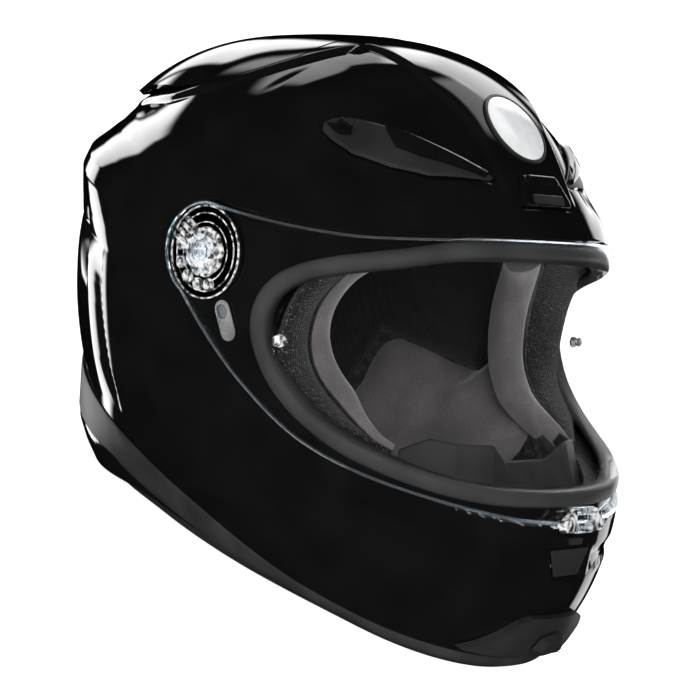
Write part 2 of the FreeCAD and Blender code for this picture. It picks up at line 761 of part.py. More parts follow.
insert_room = port_block("insert_room", -7.0)
insert_front = polygon_block("insert_front", ((50, -FAR), (50, FAR), (FAR, FAR), (FAR, -FAR)))
insert_outline = common("insert_outline", insert_room, insert_front)
insert_band = layer("insert_band", insert_outline, dim("insert_inner"), dim("insert_outer"))
NOTCH = "insert_pin_head_radius + 0.6"
notch_right = peg("notch_right", PIN_PLACE, -6, 8, NOTCH)
notch_left = peg("notch_left", PIN_PLACE, -6, 8, NOTCH, side=1)
finish("anti_fog_insert", cut("anti_fog_shape", insert_band, notch_right, notch_left))


def insert_pin(name, side):
    head = peg(name + "_head", PIN_PLACE, -1.2, VISOR_INNER - 0.4, "insert_pin_head_radius", side)
    stem = peg(name + "_stem", PIN_PLACE, -1.0, VISOR_OUTER + 0.4, "insert_pin_radius", side)
    return fuse(name, head, stem)


pins = doc.addObject("Part::Compound", "insert_pin_pair")
pins.Links = [insert_pin("insert_pin_right", -1), insert_pin("insert_pin_left", 1)]
finish("insert_pins", pins)

PLATE_BACK = RECESS_DEPTH + 0.1
PLATE_FACE = -0.9
plate_disc = rod("base_plate_disc", -150, 0, 0, 0, "base_plate_radius")
plate_layer = layer("base_plate_layer", plate_disc, PLATE_BACK, PLATE_FACE)
boss_foot = HALF_WIDTH + PLATE_FACE - 0.8
boss_tip = HALF_WIDTH + VISOR_OUTER + 0.5
boss = rod("pivot_boss", -boss_tip, -boss_foot, 0, 0, "pivot_pin_radius")
boss_bore = rod("pivot_boss_bore", -boss_tip - 1, -boss_foot, 0, 0, "pivot_pin_radius / 2")
base_plate = cut("base_plate_shape", fuse("base_plate_raw", plate_layer, boss), boss_bore)
finish("visor_base_plate_right", base_plate)
finish("visor_base_plate_left", mirrored("base_plate_left_mirror", base_plate))
cap_foot = boss_tip + 0.1
cap_head = rod("pivot_cap_head", -cap_foot - dim("pivot_cap_height"), -cap_foot, 0, 0, "pivot_cap_radius")
cap_stem = rod("pivot_cap_stem", -cap_foot - 0.5, -boss_foot - 0.4, 0, 0, "pivot_pin_radius / 2 - 0.1")
pivot_cap = fuse("pivot_cap_shape", cap_head, cap_stem)
finish("visor_pivot_cap_right", pivot_cap)
finish("visor_pivot_cap_left", mirrored("pivot_cap_left_mirror", pivot_cap))

LEVER_PLACE = (23.5, -25.5)
LEVER_AIM = FreeCAD.Vector(0, -0.62, -0.78)
lever_normal = surface_normal(*LEVER_PLACE)
lever_start = local_placement(surface_point(*LEVER_PLACE) + lever_normal * -2.1, lever_normal, LEVER_AIM)
lever = bar_body("lever_right_body", lever_start, "lever_length", "lever_width", "lever_height")
round_edges(lever, "lever_rounding", "lever_rounding", lambda e: abs(e.Length - dim("lever_height")) < 0.01)
finish("release_lever_right", lever)
finish("release_lever_left", mirrored("lever_left_mirror", lever))

TAB_BEARING = -22.0
TAB_OUTLINE = ((-6, -9), (2, -10), (6, -7), (6, 7), (2, 10), (-6, 9))
tab = plate_body("tab_body", midplane_frame(TAB_BEARING, VISOR_OUTER + 0.1), TAB_OUTLINE, 0.0, "tab_height")
sunk_pocket(tab, "tab_slot", "tab_slot_length", "tab_slot_width", -1.0, dim("tab_height"), "tab_height + 0.5")
finish("visor_tab", tab)
latch_frame = midplane_frame(TAB_BEARING, VISOR_OUTER + 0.25)
latch = bar_body("latch_body", latch_frame, "latch_length", "latch_width", "latch_height", -2.05)
finish("visor_latch", latch)
CATCH_BEARING = -24.6
catch_frame = midplane_frame(CATCH_BEARING, SEAT_GAP)
finish("visor_catch", bar_body("catch_body", catch_frame, "catch_length", "catch_width", "catch_height"))

# ---------------------------------------------------------------- chin fittings
chin_grille = plate_body("chin_grille_body", CHIN_FLOOR, chin_outline(0.0), SEAT_GAP, "grille_height")
for index, level in enumerate((-3.5, 0.0, 3.5)):
    sunk_pocket(chin_grille, "chin_opening_%d" % index, "grille_slot_width", "grille_slot_length", level,
                dim("grille_height") + SEAT_GAP, "grille_slot_depth")
finish("chin_vent_grille", chin_grille)


def front_block(name, places):
    """Solid whose front view is a polygon of (x, up) places, ahead of the pivot."""
    wire = Part.makePolygon([at(x, 0.0, u) for x, u in list(places) + [places[0]]])
    return add_shape(name, Part.Face(wire).extrude(FreeCAD.Vector(0, -FAR, 0)))


LOWER_CHIN = ((-42, -138), (-24, -118), (-18, -115), (18, -115), (24, -118), (42, -138))
lower_chin = layer("lower_chin_shape", front_block("lower_chin_front", LOWER_CHIN), 0.2, 4.5)
finish("lower_chin_cover", lower_chin)
BUTTON_BEARING = -36.8
BUTTON_OUTLINE = ((-6, -9), (-3, -12), (4, -9), (6, 0), (4, 9), (-3, 12), (-6, 9))
button_frame = midplane_frame(BUTTON_BEARING, 4.9)
finish("chin_vent_button", plate_body("button_body", button_frame, BUTTON_OUTLINE, 0.0, "button_height"))

DEFLECTOR_AREA = ((96, -100), (96, -58), (FAR, -50), (FAR, -100))
deflector_block = polygon_block("deflector_area", DEFLECTOR_AREA, -0.36, 0.36)
finish("breath_deflector", layer("deflector_shape", deflector_block, -27.0, -24.0))

curtain_area = polygon_block("curtain_area", ((60, -142.5), (60, -140.5), (FAR, -140.5), (FAR, -142.5)))
curtain_sheet = common("curtain_sheet", form(-9.5), curtain_area)
throat = doc.addObject("Part::Cylinder", "throat_opening")
throat.Placement = FreeCAD.Placement(at(0, 0, dim("base_level")), FreeCAD.Rotation())
bind(throat, Radius="throat_radius", Height="tool_height + 10")
finish("chin_curtain", cut("curtain_shape", curtain_sheet, throat))

# ---------------------------------------------------------------- retention straps
STRAP_MID = -20.0
STRAP_TOP = -62.0
STRAP_LEVEL = -139.0
STRAP_END = 14.0
STRAP_DEPTH = 15.0
width = dim("webbing_width")
thick = dim("webbing_thickness")
RIVET_PLACE = (STRAP_MID, -72.0)
strap_side = rectangle(width, STRAP_TOP - STRAP_LEVEL, STRAP_MID, (STRAP_TOP + STRAP_LEVEL) / 2.0)
strap_block = polygon_block("strap_area", strap_side, -1.0, 0.0)
strap_drop = layer("strap_drop", strap_block, -STRAP_DEPTH - thick, -STRAP_DEPTH)
strap_corner = half_breadth(STRAP_MID, STRAP_LEVEL, -STRAP_DEPTH)
strap_run = doc.addObject("Part::Box", "strap_run")
bind(strap_run, Length=strap_corner - STRAP_END, Width="webbing_width", Height="webbing_thickness")
strap_run.Placement = FreeCAD.Placement(at(-strap_corner, STRAP_MID + width / 2.0, STRAP_LEVEL - thick + 0.1),
                                        FreeCAD.Rotation())
doc.recompute()
rivet_hole = peg("rivet_hole", RIVET_PLACE, -25, 0, "strap_rivet_radius + 0.15")
strap_right = cut("strap_right_shape", fuse("strap_right_raw", strap_drop, strap_run), rivet_hole)
finish("chin_strap_right", strap_right)

anchor_area = polygon_block("anchor_area", rectangle(20, 18, STRAP_MID, -71.0), -1.0, 0.0)
anchor = cut("anchor_right_shape", layer("anchor_layer", anchor_area, -14.9, -14.1), rivet_hole)
finish("strap_anchor_right", anchor)
finish("strap_anchor_left", mirrored("anchor_left_mirror", anchor))
rivet_peg = peg("rivet_body", RIVET_PLACE, -25, 0, "strap_rivet_radius")
rivet_right = cut("rivet_right", common("rivet_right_raw", rivet_peg, form(SHELL_BACK - 0.2)), form(-17.6))
rivets = doc.addObject("Part::Compound", "rivet_pair")
rivets.Links = [rivet_right, mirrored("rivet_left", rivet_right)]
finish("anchor_rivets", rivets)
core_hole = peg("core_hole", RIVET_PLACE, -25, 0, "core_hole_radius")
core_with_hole = cut("cheek_core_drilled", cheek_core, core_hole)
finish("cheek_core_right", core_with_hole)
finish("cheek_core_left", mirrored("cheek_core_left_drilled", core_with_hole))

stud_places = ((8, -72), (42, -80), (30, -122), (-42, -116))
stud_layer_outer = form(-14.2)
studs = []
for index, place in enumerate(stud_places):
    stud_peg = peg("stud_%d_peg" % index, place, -26, 0, "snap_radius")
    stud = cut("stud_%d" % index, common("stud_%d_raw" % index, stud_peg, stud_layer_outer), form(-17.8))
    studs += [stud, mirrored("stud_%d_left" % index, stud)]
snaps = doc.addObject("Part::Compound", "snap_set")
snaps.Links = studs
finish("cheek_pad_snaps", snaps)

RING_BARS = (("d_ring_lower", -144.2), ("d_ring_upper", -135.8))
half_ring = dim("ring_half_width")
LOOP_LENGTH = width - 2.4
ALONG_Y = FreeCAD.Rotation(FreeCAD.Vector(1, 0, 0), 90)
QUARTER_TURN = FreeCAD.Rotation(FreeCAD.Vector(0, 0, 1), 90)


def cross_rod(name, length, radius, level):
    """Cylinder along Y through the end of the strap, about the strap's middle."""
    body = doc.addObject("Part::Cylinder", name)
    body.Placement = FreeCAD.Placement(at(STRAP_END, STRAP_MID - amount(length) / 2.0, level), ALONG_Y)
    bind(body, Radius=radius, Height=length)
    return body


strap_left = mirrored("strap_left_plain", strap_right)
for name, level in RING_BARS:
    loop = cross_rod(name + "_loop", LOOP_LENGTH, "ring_loop_radius", level)
    hole = cross_rod(name + "_loop_hole", width + 20.0, "ring_wire_radius + running_clearance", level)
    strap_left = cut(name + "_strap", fuse(name + "_strap_raw", strap_left, loop), hole)
    bar = cross_rod(name + "_bar", 2.0 * half_ring, "ring_wire_radius", level)
    bow = doc.addObject("Part::Torus", name + "_bow")
    bow.Angle3 = 180
    bow.Placement = FreeCAD.Placement(at(STRAP_END, STRAP_MID, level), QUARTER_TURN)
    bind(bow, Radius1="ring_half_width", Radius2="ring_wire_radius")
    finish(name, fuse(name + "_shape", bar, bow))
finish("chin_strap_left", strap_left)


def sleeve_box(name, x_low, gap_x, gap_y, gap_z):
    """Box about the level run of the webbing, grown by gaps on every side."""
    box = doc.addObject("Part::Box", name)
    box.Placement = FreeCAD.Placement(at(x_low - gap_x, STRAP_MID + width / 2.0 + gap_y,
                                         STRAP_LEVEL - thick - gap_z), FreeCAD.Rotation())
    bind(box, Length="sleeve_length + %g" % (2 * gap_x), Width="webbing_width + %g" % (2 * gap_y),
         Height="webbing_thickness + %g" % (2 * gap_z))
    return box


SLEEVE_START = -58.0
SLEEVE_GAP = 0.3
sleeve_wall = dim("sleeve_wall")
sleeve_outside = sleeve_box("sleeve_outside", SLEEVE_START, 0.0, sleeve_wall + 0.8, sleeve_wall + SLEEVE_GAP)
sleeve_tunnel = sleeve_box("sleeve_tunnel", SLEEVE_START, 10.0, SLEEVE_GAP, SLEEVE_GAP)
sleeve = cut("strap_sleeve_shape", sleeve_outside, sleeve_tunnel)
finish("strap_sleeve_right", sleeve)
finish("strap_sleeve_left", mirrored("strap_sleeve_mirror", sleeve))

# ---------------------------------------------------------------- badge
BADGE_BEARING = 57.0
badge_tool = doc.addObject("Part::Feature", "badge_tool")
BADGE_LONG = 21.0
BADGE_SHORT = 17.0
badge_face = Part.Face(Part.Wire(Part.Ellipse(FreeCAD.Vector(), BADGE_LONG, BADGE_SHORT).toShape()))
badge_tool.Shape = badge_face.extrude(FreeCAD.Vector(0, 0, dim("tool_height")))
badge_tool.Placement = midplane_frame(BADGE_BEARING, -12.0)
badge = cut("badge_shape", common("badge_block", badge_tool, form(0.9)), form(0.1))
finish("front_badge", badge)

# ---------------------------------------------------------------- check and write
doc.recompute()
for item in doc.Objects:
    if "Invalid" in item.State or "Error" in item.State:
        raise RuntimeError(item.Name + " did not build: " + str(item.State))
os.makedirs("parts", exist_ok=True)
for name, item in finished.items():
    shape = item.Shape
    if shape.isNull() or not shape.isValid() or not shape.Solids:
        raise RuntimeError(name + " has no valid solid")
    shape.exportStep(os.path.join("parts", name + ".step"))
print(len(finished), "parts written")
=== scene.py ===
import json
import math

import bmesh
import bpy
import numpy as np
from mathutils import Matrix, Vector

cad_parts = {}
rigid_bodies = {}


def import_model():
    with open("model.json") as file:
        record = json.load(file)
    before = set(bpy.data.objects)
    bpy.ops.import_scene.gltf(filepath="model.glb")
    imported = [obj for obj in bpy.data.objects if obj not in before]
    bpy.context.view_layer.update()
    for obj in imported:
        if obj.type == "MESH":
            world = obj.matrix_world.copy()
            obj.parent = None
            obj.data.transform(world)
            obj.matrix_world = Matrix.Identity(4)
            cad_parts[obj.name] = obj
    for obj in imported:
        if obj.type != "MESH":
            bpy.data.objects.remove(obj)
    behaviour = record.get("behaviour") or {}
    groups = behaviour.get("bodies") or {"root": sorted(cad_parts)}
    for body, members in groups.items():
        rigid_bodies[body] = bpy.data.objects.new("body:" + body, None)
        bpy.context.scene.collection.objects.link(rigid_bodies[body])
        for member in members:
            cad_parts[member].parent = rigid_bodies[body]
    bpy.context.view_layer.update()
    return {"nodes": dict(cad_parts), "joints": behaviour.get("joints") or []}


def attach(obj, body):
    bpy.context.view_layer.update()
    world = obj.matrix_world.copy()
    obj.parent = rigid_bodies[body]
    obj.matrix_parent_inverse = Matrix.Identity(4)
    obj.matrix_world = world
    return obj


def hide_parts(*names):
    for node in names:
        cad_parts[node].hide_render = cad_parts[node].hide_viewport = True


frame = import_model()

scene = bpy.context.scene
HINGE = next(j for j in frame["joints"] if j["name"] == "visor_hinge")
PIVOT = np.array(HINGE["pos_m"])

# ---------------------------------------------------------------- helmet form
# The same form as in the CAD source, in the pivot frame: (x, forward, up) in millimetres
# from the axis on which the visor turns.
HALF_WIDTH = 124.0
ROUNDNESS = 2.1
JAW_TAPER = 0.185
PROFILE = ((-140, 187.0), (-110, 203.0), (-80, 223.6), (-55, 224.3), (-35, 210.0), (-15, 161.2), (5, 130.0),
           (25, 116.7), (45, 110.5), (65, 111.0), (90, 112.4), (115, 114.0), (140, 130.0), (165, 154.1),
           (190, 173.2))


def periodic_spline(knots):
    """Cubic spline over a full turn of bearings, in degrees."""
    bearings, values = np.array(knots, float).T
    count = len(bearings)
    gap = np.diff(np.append(bearings, bearings[0] + 360.0))
    rise = (np.roll(values, -1) - values) / gap
    matrix = np.diag(2.0 * (gap + np.roll(gap, 1)))
    for i in range(count):
        matrix[i, i - 1] = gap[i - 1]
        matrix[i, (i + 1) % count] = gap[i]
    bend = np.linalg.solve(matrix, 6.0 * (rise - np.roll(rise, 1)))

    def value(bearing):
        past = np.mod(np.asarray(bearing, float) - bearings[0], 360.0)
        i = np.searchsorted(bearings - bearings[0], past, side="right") - 1
        after = (i + 1) % count
        b = (past - (bearings[i] - bearings[0])) / gap[i]
        a = 1.0 - b
        curve = (a ** 3 - a) * bend[i] + (b ** 3 - b) * bend[after]
        return a * values[i] + b * values[after] + curve * gap[i] ** 2 / 6.0

    return value


reach = periodic_spline(PROFILE)


def taper(up):
    return 1.0 - JAW_TAPER * np.clip((-up - 25.0) / 135.0, 0.0, 2.0) ** 1.5


def form_value(p, offset=0.0):
    """Zero on the form grown by offset, negative inside it."""
    x, forward, up = p[..., 0], p[..., 1], p[..., 2]
    side = (np.abs(x) / ((HALF_WIDTH + offset) * taper(up))) ** ROUNDNESS
    outline = np.hypot(forward, up) / (reach(np.degrees(np.arctan2(up, forward))) + offset)
    return side + outline ** ROUNDNESS - 1.0


def form_slope(p, offset=0.0, step=0.25):
    change = [form_value(p + step * a, offset) - form_value(p - step * a, offset) for a in np.eye(3)]
    return np.stack(change, -1) / (2.0 * step)


def form_normal(p):
    slope = form_slope(p)
    return slope / np.linalg.norm(slope, axis=-1, keepdims=True)


def settle(p, offset=0.0, rounds=6):
    """Move places square on to the form grown by offset."""
    p = np.array(p, float)
    for _ in range(rounds):
        slope = form_slope(p, offset)
        p = p - slope * (form_value(p, offset) / (slope ** 2).sum(-1))[..., None]
    return p


def half_breadth(forward, up, offset=0.0):
    ratio = np.hypot(forward, up) / (reach(np.degrees(np.arctan2(up, forward))) + offset)
    room = np.clip(1.0 - ratio ** ROUNDNESS, 0.0, None)
    return (HALF_WIDTH + offset) * taper(np.asarray(up, float)) * room ** (1.0 / ROUNDNESS)


def side_place(forward, up, side=-1, offset=0.0):
    return np.array([side * float(half_breadth(forward, up, offset)), forward, up])


def level_place(angle, level, offset, centre=0.0):
    """Places on the grown form at horizontal bearings, at the height level(forward)."""
    angle, offset = np.broadcast_arrays(np.asarray(angle, float), np.asarray(offset, float))
    low, high = np.zeros(angle.shape), np.full(angle.shape, 320.0)
    for _ in range(44):
        r = (low + high) / 2.0
        forward = centre + r * np.cos(angle)
        p = np.stack([r * np.sin(angle), forward, level(forward)], -1)
        inside = form_value(p, offset) < 0.0
        low = np.where(inside, r, low)
        high = np.where(inside, high, r)
    return p


def midplane_frame(bearing, lift=0.0):
    """Origin and axes (up along the outline, sideways, outward) on the mid-plane."""
    def place(b):
        radius = float(reach(b))
        return np.array([0.0, radius * math.cos(math.radians(b)), radius * math.sin(math.radians(b))])
    here = place(bearing)
    along = place(bearing + 0.5) - here
    along /= np.linalg.norm(along)
    outward = np.array([0.0, along[2], -along[1]])
    return here + outward * lift, np.stack([along, np.array([-1.0, 0.0, 0.0]), outward])


def side_frame(forward, up, aim, side=-1):
    """Origin and axes (along aim, across, outward) on one side of the form."""
    here = side_place(forward, up, side)
    outward = form_normal(here)
    along = np.array(aim, float)
    along -= outward * along.dot(outward)
    along /= np.linalg.norm(along)
    return here, np.stack([along, np.cross(outward, along) * side, outward])


def in_frame(local, places, lift=0.0):
    origin, axes = local
    places = np.asarray(places, float)
    if places.shape[-1] == 2:
        places = np.concatenate([places, np.zeros(places.shape[:-1] + (1,))], -1)
    return origin + (places + [0.0, 0.0, lift]) @ axes


# ---------------------------------------------------------------- curves and fields
def smooth_line(places, per_span=10):
    """Curve through places, rounded between them."""
    p = np.array(places, float)
    ends = np.concatenate([[2 * p[0] - p[1]], p, [2 * p[-1] - p[-2]]])
    out = []
    for i in range(len(p) - 1):
        a, b, c, d = ends[i:i + 4]
        t = np.linspace(0.0, 1.0, per_span, endpoint=False)[:, None]
        out.append(b + 0.5 * t * (c - a + t * (2 * a - 5 * b + 4 * c - d + t * (3 * (b - c) + d - a))))
    return np.concatenate(out + [p[-1:]])


def smoothstep(value, low, high):
    t = np.clip((value - low) / (high - low), 0.0, 1.0)
    return t * t * (3.0 - 2.0 * t)


def line_distance(points, line, closed=False):
    """Distance of side-view points from a polyline."""
    ends = np.roll(line, -1, axis=0) if closed else line[1:]
    best = np.full(len(points), 1e9)
    for a, b in zip(line, ends):
        along = b - a
        t = np.clip((points - a) @ along / max(along @ along, 1e-9), 0.0, 1.0)
        best = np.minimum(best, ((points - a - t[:, None] * along) ** 2).sum(1))
    return np.sqrt(best)


def inside(points, polygon):
    """Distance inside a closed side-view polygon, negative outside."""
    crossing = np.zeros(len(points), bool)
    for a, b in zip(polygon, np.roll(polygon, -1, axis=0)):
        if a[1] != b[1]:
            spans = (a[1] > points[:, 1]) != (b[1] > points[:, 1])
            crossing ^= spans & (points[:, 0] < (b[0] - a[0]) * (points[:, 1] - a[1]) / (b[1] - a[1]) + a[0])
    return line_distance(points, polygon, closed=True) * np.where(crossing, 1.0, -1.0)


def resample(path, count, closed=True):
    path = np.concatenate([path, path[:1]]) if closed else path
    length = np.append(0.0, np.cumsum(np.linalg.norm(np.diff(path, axis=0), axis=1)))
    at = np.linspace(0.0, length[-1], count, endpoint=not closed)
    return np.stack([np.interp(at, length, path[:, k]) for k in range(path.shape[1])], 1)


def soften(path, width):
    """Round a closed path off over width samples."""
    reach_out = int(3 * width)
    steps = np.arange(-reach_out, reach_out + 1)
    weight = np.exp(-0.5 * (steps / width) ** 2)
    weight /= weight.sum()
    return sum(w * np.roll(path, -s, axis=0) for w, s in zip(weight, steps))


# ---------------------------------------------------------------- mesh helpers
def to_row(p):
    p = np.asarray(p, float)
    return PIVOT + np.stack([p[..., 0], -p[..., 1], p[..., 2]], -1) / 1000.0


def from_row(p):
    return (np.asarray(p, float) - PIVOT) * [1000.0, -1000.0, 1000.0]


def finish_piece(obj, body="helmet", replaces=(), slot=None):
    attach(obj, body)
    if replaces:
        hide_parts(*replaces)
    return obj


def add_mesh(name, points, faces, materials, sharp=40.0, face_material=None, **row):
    """Mesh object from pivot-frame points, faces turned outwards and shaded smooth."""
    mesh = bpy.data.meshes.new(name)
    mesh.from_pydata(to_row(points).tolist(), [], [list(map(int, f)) for f in faces])
    for m in materials:
        mesh.materials.append(m)
    if face_material is not None:
        mesh.polygons.foreach_set("material_index", np.asarray(face_material, np.int32))
    work = bmesh.new()
    work.from_mesh(mesh)
    bmesh.ops.recalc_face_normals(work, faces=work.faces)
    work.to_mesh(mesh)
    work.free()
    mesh.polygons.foreach_set("use_smooth", [True] * len(mesh.polygons))
    mesh.set_sharp_from_angle(angle=math.radians(sharp))
    obj = bpy.data.objects.new(name, mesh)
    bpy.context.scene.collection.objects.link(obj)
    return finish_piece(obj, **row) if row else obj


def modify(obj, kind, **settings):
    modifier = obj.modifiers.new(kind.lower(), kind)
    for key, value in settings.items():
        setattr(modifier, key, value)
    return modifier


def grid_faces(rows, columns, wrap_rows=False, wrap_columns=False):
    """Quads of a rows x columns grid of points."""
    i = np.arange(rows if wrap_rows else rows - 1)
    j = np.arange(columns if wrap_columns else columns - 1)
    i, j = np.meshgrid(i, j, indexing="ij")
    below, beside = (i + 1) % rows, (j + 1) % columns
    quads = [i * columns + j, i * columns + beside, below * columns + beside, below * columns + j]
    return np.stack(quads, -1).reshape(-1, 4)


def sphere_grid(count):
    """Directions and quads spread evenly over the sphere: six square grids of a cube."""
    t = np.tan(np.linspace(-1.0, 1.0, count + 1) * math.pi / 4.0)
    a, b = np.meshgrid(t, t, indexing="ij")
    points, faces = [], []
    for axis in range(3):
        for sign in (-1.0, 1.0):
            p = np.empty(a.shape + (3,))
            p[..., axis] = sign
            p[..., (axis + 1) % 3] = a
            p[..., (axis + 2) % 3] = b
            faces.append(grid_faces(count + 1, count + 1) + len(points) * (count + 1) ** 2)
            points.append(p.reshape(-1, 3))
    points = np.concatenate(points)
    _, first, back = np.unique(np.round(points, 6), axis=0, return_index=True, return_inverse=True)
    points = points[first]
    return points / np.linalg.norm(points, axis=1, keepdims=True), back.ravel()[np.concatenate(faces)]


def spread(directions, offset=0.0):
    """Where rays from the pivot leave the form grown by offset."""
    size = np.full(len(directions), 120.0)
    flat = np.hypot(directions[:, 1], directions[:, 2])
    outline = reach(np.degrees(np.arctan2(directions[:, 2], directions[:, 1]))) + offset
    for _ in range(12):
        side = np.abs(directions[:, 0]) / ((HALF_WIDTH + offset) * taper(size * directions[:, 2]))
        size = 0.5 * size + 0.5 * (side ** ROUNDNESS + (flat / outline) ** ROUNDNESS) ** (-1.0 / ROUNDNESS)
    return directions * size[:, None]


def triangles(quads):
    return np.concatenate([quads[:, [0, 1, 2]], quads[:, [0, 2, 3]]])


def clip(points, faces, value):
    """Keep the part of a triangle mesh where value is positive; the new edge runs where it is zero."""
    keep = value > 0.0
    count = keep[faces].sum(1)
    mixed = faces[(count == 1) | (count == 2)]
    lone = np.where((keep[mixed].sum(1) == 1)[:, None], keep[mixed], ~keep[mixed]).argmax(1)
    turned = mixed[np.arange(len(mixed))[:, None], (lone[:, None] + np.arange(3)) % 3]
    a, b, c = turned.T
    edges = np.sort(np.concatenate([np.stack([a, b], 1), np.stack([a, c], 1)]), 1)
    unique, back = np.unique(edges, axis=0, return_inverse=True)
    start, end = unique.T
    share = (value[start] / (value[start] - value[end]))[:, None]
    grown = np.concatenate([points, points[start] + share * (points[end] - points[start])])
    back = back.ravel() + len(points)
    ab, ac = back[:len(mixed)], back[len(mixed):]
    tip = keep[a]
    out = [faces[count == 3], np.stack([a, ab, ac], 1)[tip], np.stack([ab, b, c], 1)[~tip],
           np.stack([ab, c, ac], 1)[~tip]]
    out = np.concatenate(out)
    used = np.unique(out)
    index = np.full(len(grown), -1)
    index[used] = np.arange(len(used))
    return grown[used], index[out]


def boundary_edges(faces):
    """Edges used by one face, in that face's direction."""
    count = faces.shape[1]
    edges = np.concatenate([faces[:, [k, (k + 1) % count]] for k in range(count)])
    _, back, times = np.unique(np.sort(edges, 1), axis=0, return_inverse=True, return_counts=True)
    return edges[times[back.ravel()] == 1]


def thicken(points, faces, inner):
    """Closed sheet from an open one and the matching points of its far side."""
    rim = boundary_edges(faces)
    count = len(points)
    wall = np.stack([rim[:, 0], rim[:, 0] + count, rim[:, 1] + count, rim[:, 1]], 1)
    return np.concatenate([points, inner]), [*faces, *(faces[:, ::-1] + count), *wall]


def sweep(path, across, out, profile, closed=True):
    """Tube whose section profile (across, out) follows a path; section is closed."""
    profile = np.asarray(profile, float)
    rings = path[:, None] + across[:, None] * profile[None, :, :1] + out[:, None] * profile[None, :, 1:]
    faces = grid_faces(len(path), len(profile), wrap_rows=closed, wrap_columns=True)
    return rings.reshape(-1, 3), faces


def surface_frame(path, closed=True):
    """Directions across a path on the form and out of the form."""
    along = np.roll(path, -1, axis=0) - np.roll(path, 1, axis=0) if closed else np.gradient(path, axis=0)
    along /= np.linalg.norm(along, axis=1, keepdims=True)
    out = form_normal(path)
    across = np.cross(along, out)
    across /= np.linalg.norm(across, axis=1, keepdims=True)
    return across, out


def carry(name, material, slot=None):
    """Show a CAD node as it is, with its own procedural material."""
    node = frame["nodes"][name]
    node.data.materials.clear()
    node.data.materials.append(material)
    return node


# ---------------------------------------------------------------- materials
class Graph:
    """Node material under construction; its inputs take numbers, colours or other nodes' outputs."""

    def __init__(self, name):
        self.material = bpy.data.materials.new(name)
        self.material.use_nodes = True
        self.tree = self.material.node_tree
        self.tree.nodes.clear()

    def add(self, kind, inputs=None, out=0, **settings):
        node = self.tree.nodes.new("ShaderNode" + kind)
        for key, value in settings.items():
            setattr(node, key, value)
        for key, value in (inputs or {}).items():
            if isinstance(value, bpy.types.NodeSocket):
                self.tree.links.new(value, node.inputs[key])
            else:
                node.inputs[key].default_value = value
        return node.outputs[out]

    def place(self):
        return self.add("TexCoord", out=3)

    def noise(self, scale, detail=3.0):
        return self.add("TexNoise", {"Vector": self.place(), "Scale": scale, "Detail": detail})

    def ramp(self, factor, low, high, start=0.0, end=1.0):
        return self.add("MapRange", {0: factor, 1: low, 2: high, 3: start, 4: end})

    def blend(self, factor, first, second):
        return self.add("Mix", {0: factor, 6: first, 7: second}, out=2, data_type="RGBA")

    def mix(self, factor, first, second):
        return self.add("MixShader", {0: factor, 1: first, 2: second})

    def bump(self, height, distance, strength=1.0):
        return self.add("Bump", {"Height": height, "Distance": distance, "Strength": strength})

    def close(self, shader):
        output = self.tree.nodes.new("ShaderNodeOutputMaterial")
        self.tree.links.new(shader, output.inputs[0])
        return self.material


def rgba(value, blue=0.0, alpha=1.0):
    return (value, value, value + blue, alpha) if isinstance(value, float) else (*value, alpha)


def moulded(name, dark, light, rough, grain, depth, **principled):
    """Moulded plastic, rubber or metal: mottled colour and gloss over a fine surface grain."""
    g = Graph(name)
    mottle = g.ramp(g.noise(45.0, 2.0), 0.35, 0.65)
    colour = g.blend(mottle, rgba(dark), rgba(light))
    fine = g.noise(grain)
    gloss = g.ramp(fine, 0.3, 0.7, rough[0], rough[1])
    inputs = {"Base Color": colour, "Roughness": gloss, "Normal": g.bump(fine, depth)}
    inputs.update({key.replace("_", " "): value for key, value in principled.items()})
    return g.close(g.add("BsdfPrincipled", inputs))


def woven(name, dark, light, cell, depth, sheen=0.3, specks=0.0):
    """Knitted or spacer-mesh fabric: a cell pattern with raised rims and open middles."""
    g = Graph(name)
    drift = g.noise(30.0)
    cells = g.add("TexVoronoi", {"Vector": g.place(), "Scale": cell, "Randomness": 0.25})
    rim = g.ramp(cells, 0.25, 0.6)
    colour = g.blend(rim, rgba(dark), rgba(light))
    shade = g.blend(g.ramp(drift, 0.3, 0.7, 0.0, 0.35), colour, rgba(dark))
    if specks:
        spark = g.add("TexNoise", {"Vector": g.place(), "Scale": cell * 2.2, "Detail": 1.0})
        shade = g.blend(g.ramp(spark, 0.66, 0.72, 0.0, specks), shade, rgba(0.55))
    normal = g.bump(rim, depth)
    inputs = {"Base Color": shade, "Roughness": 0.9, "Normal": normal, "Sheen Weight": sheen,
              "Sheen Roughness": 0.5}
    return g.close(g.add("BsdfPrincipled", inputs))


def suede_material():
    g = Graph("suede")
    patches = g.ramp(g.noise(38.0, 4.0), 0.35, 0.7)
    nap = g.noise(900.0, 4.0)
    colour = g.blend(patches, rgba((0.105, 0.094, 0.096)), rgba((0.175, 0.160, 0.163)))
    colour = g.blend(g.ramp(nap, 0.35, 0.7, 0.0, 0.45), colour, rgba((0.06, 0.055, 0.057)))
    inputs = {"Base Color": colour, "Roughness": 0.95, "Normal": g.bump(nap, 0.0004),
              "Sheen Weight": 0.6, "Sheen Roughness": 0.4}
    return g.close(g.add("BsdfPrincipled", inputs))


def webbing_material():
    g = Graph("webbing")
    ribs = g.add("TexWave", {"Vector": g.place(), "Scale": 300.0, "Distortion": 0.6, "Detail": 1.0},
                 bands_direction="Y")
    twill = g.add("TexWave", {"Vector": g.place(), "Scale": 160.0, "Distortion": 0.4}, bands_direction="DIAGONAL")
    colour = g.blend(ribs, rgba(0.008), rgba(0.03))
    inputs = {"Base Color": colour, "Roughness": 0.75, "Normal": g.bump(twill, 0.0004), "Sheen Weight": 0.2}
    return g.close(g.add("BsdfPrincipled", inputs))


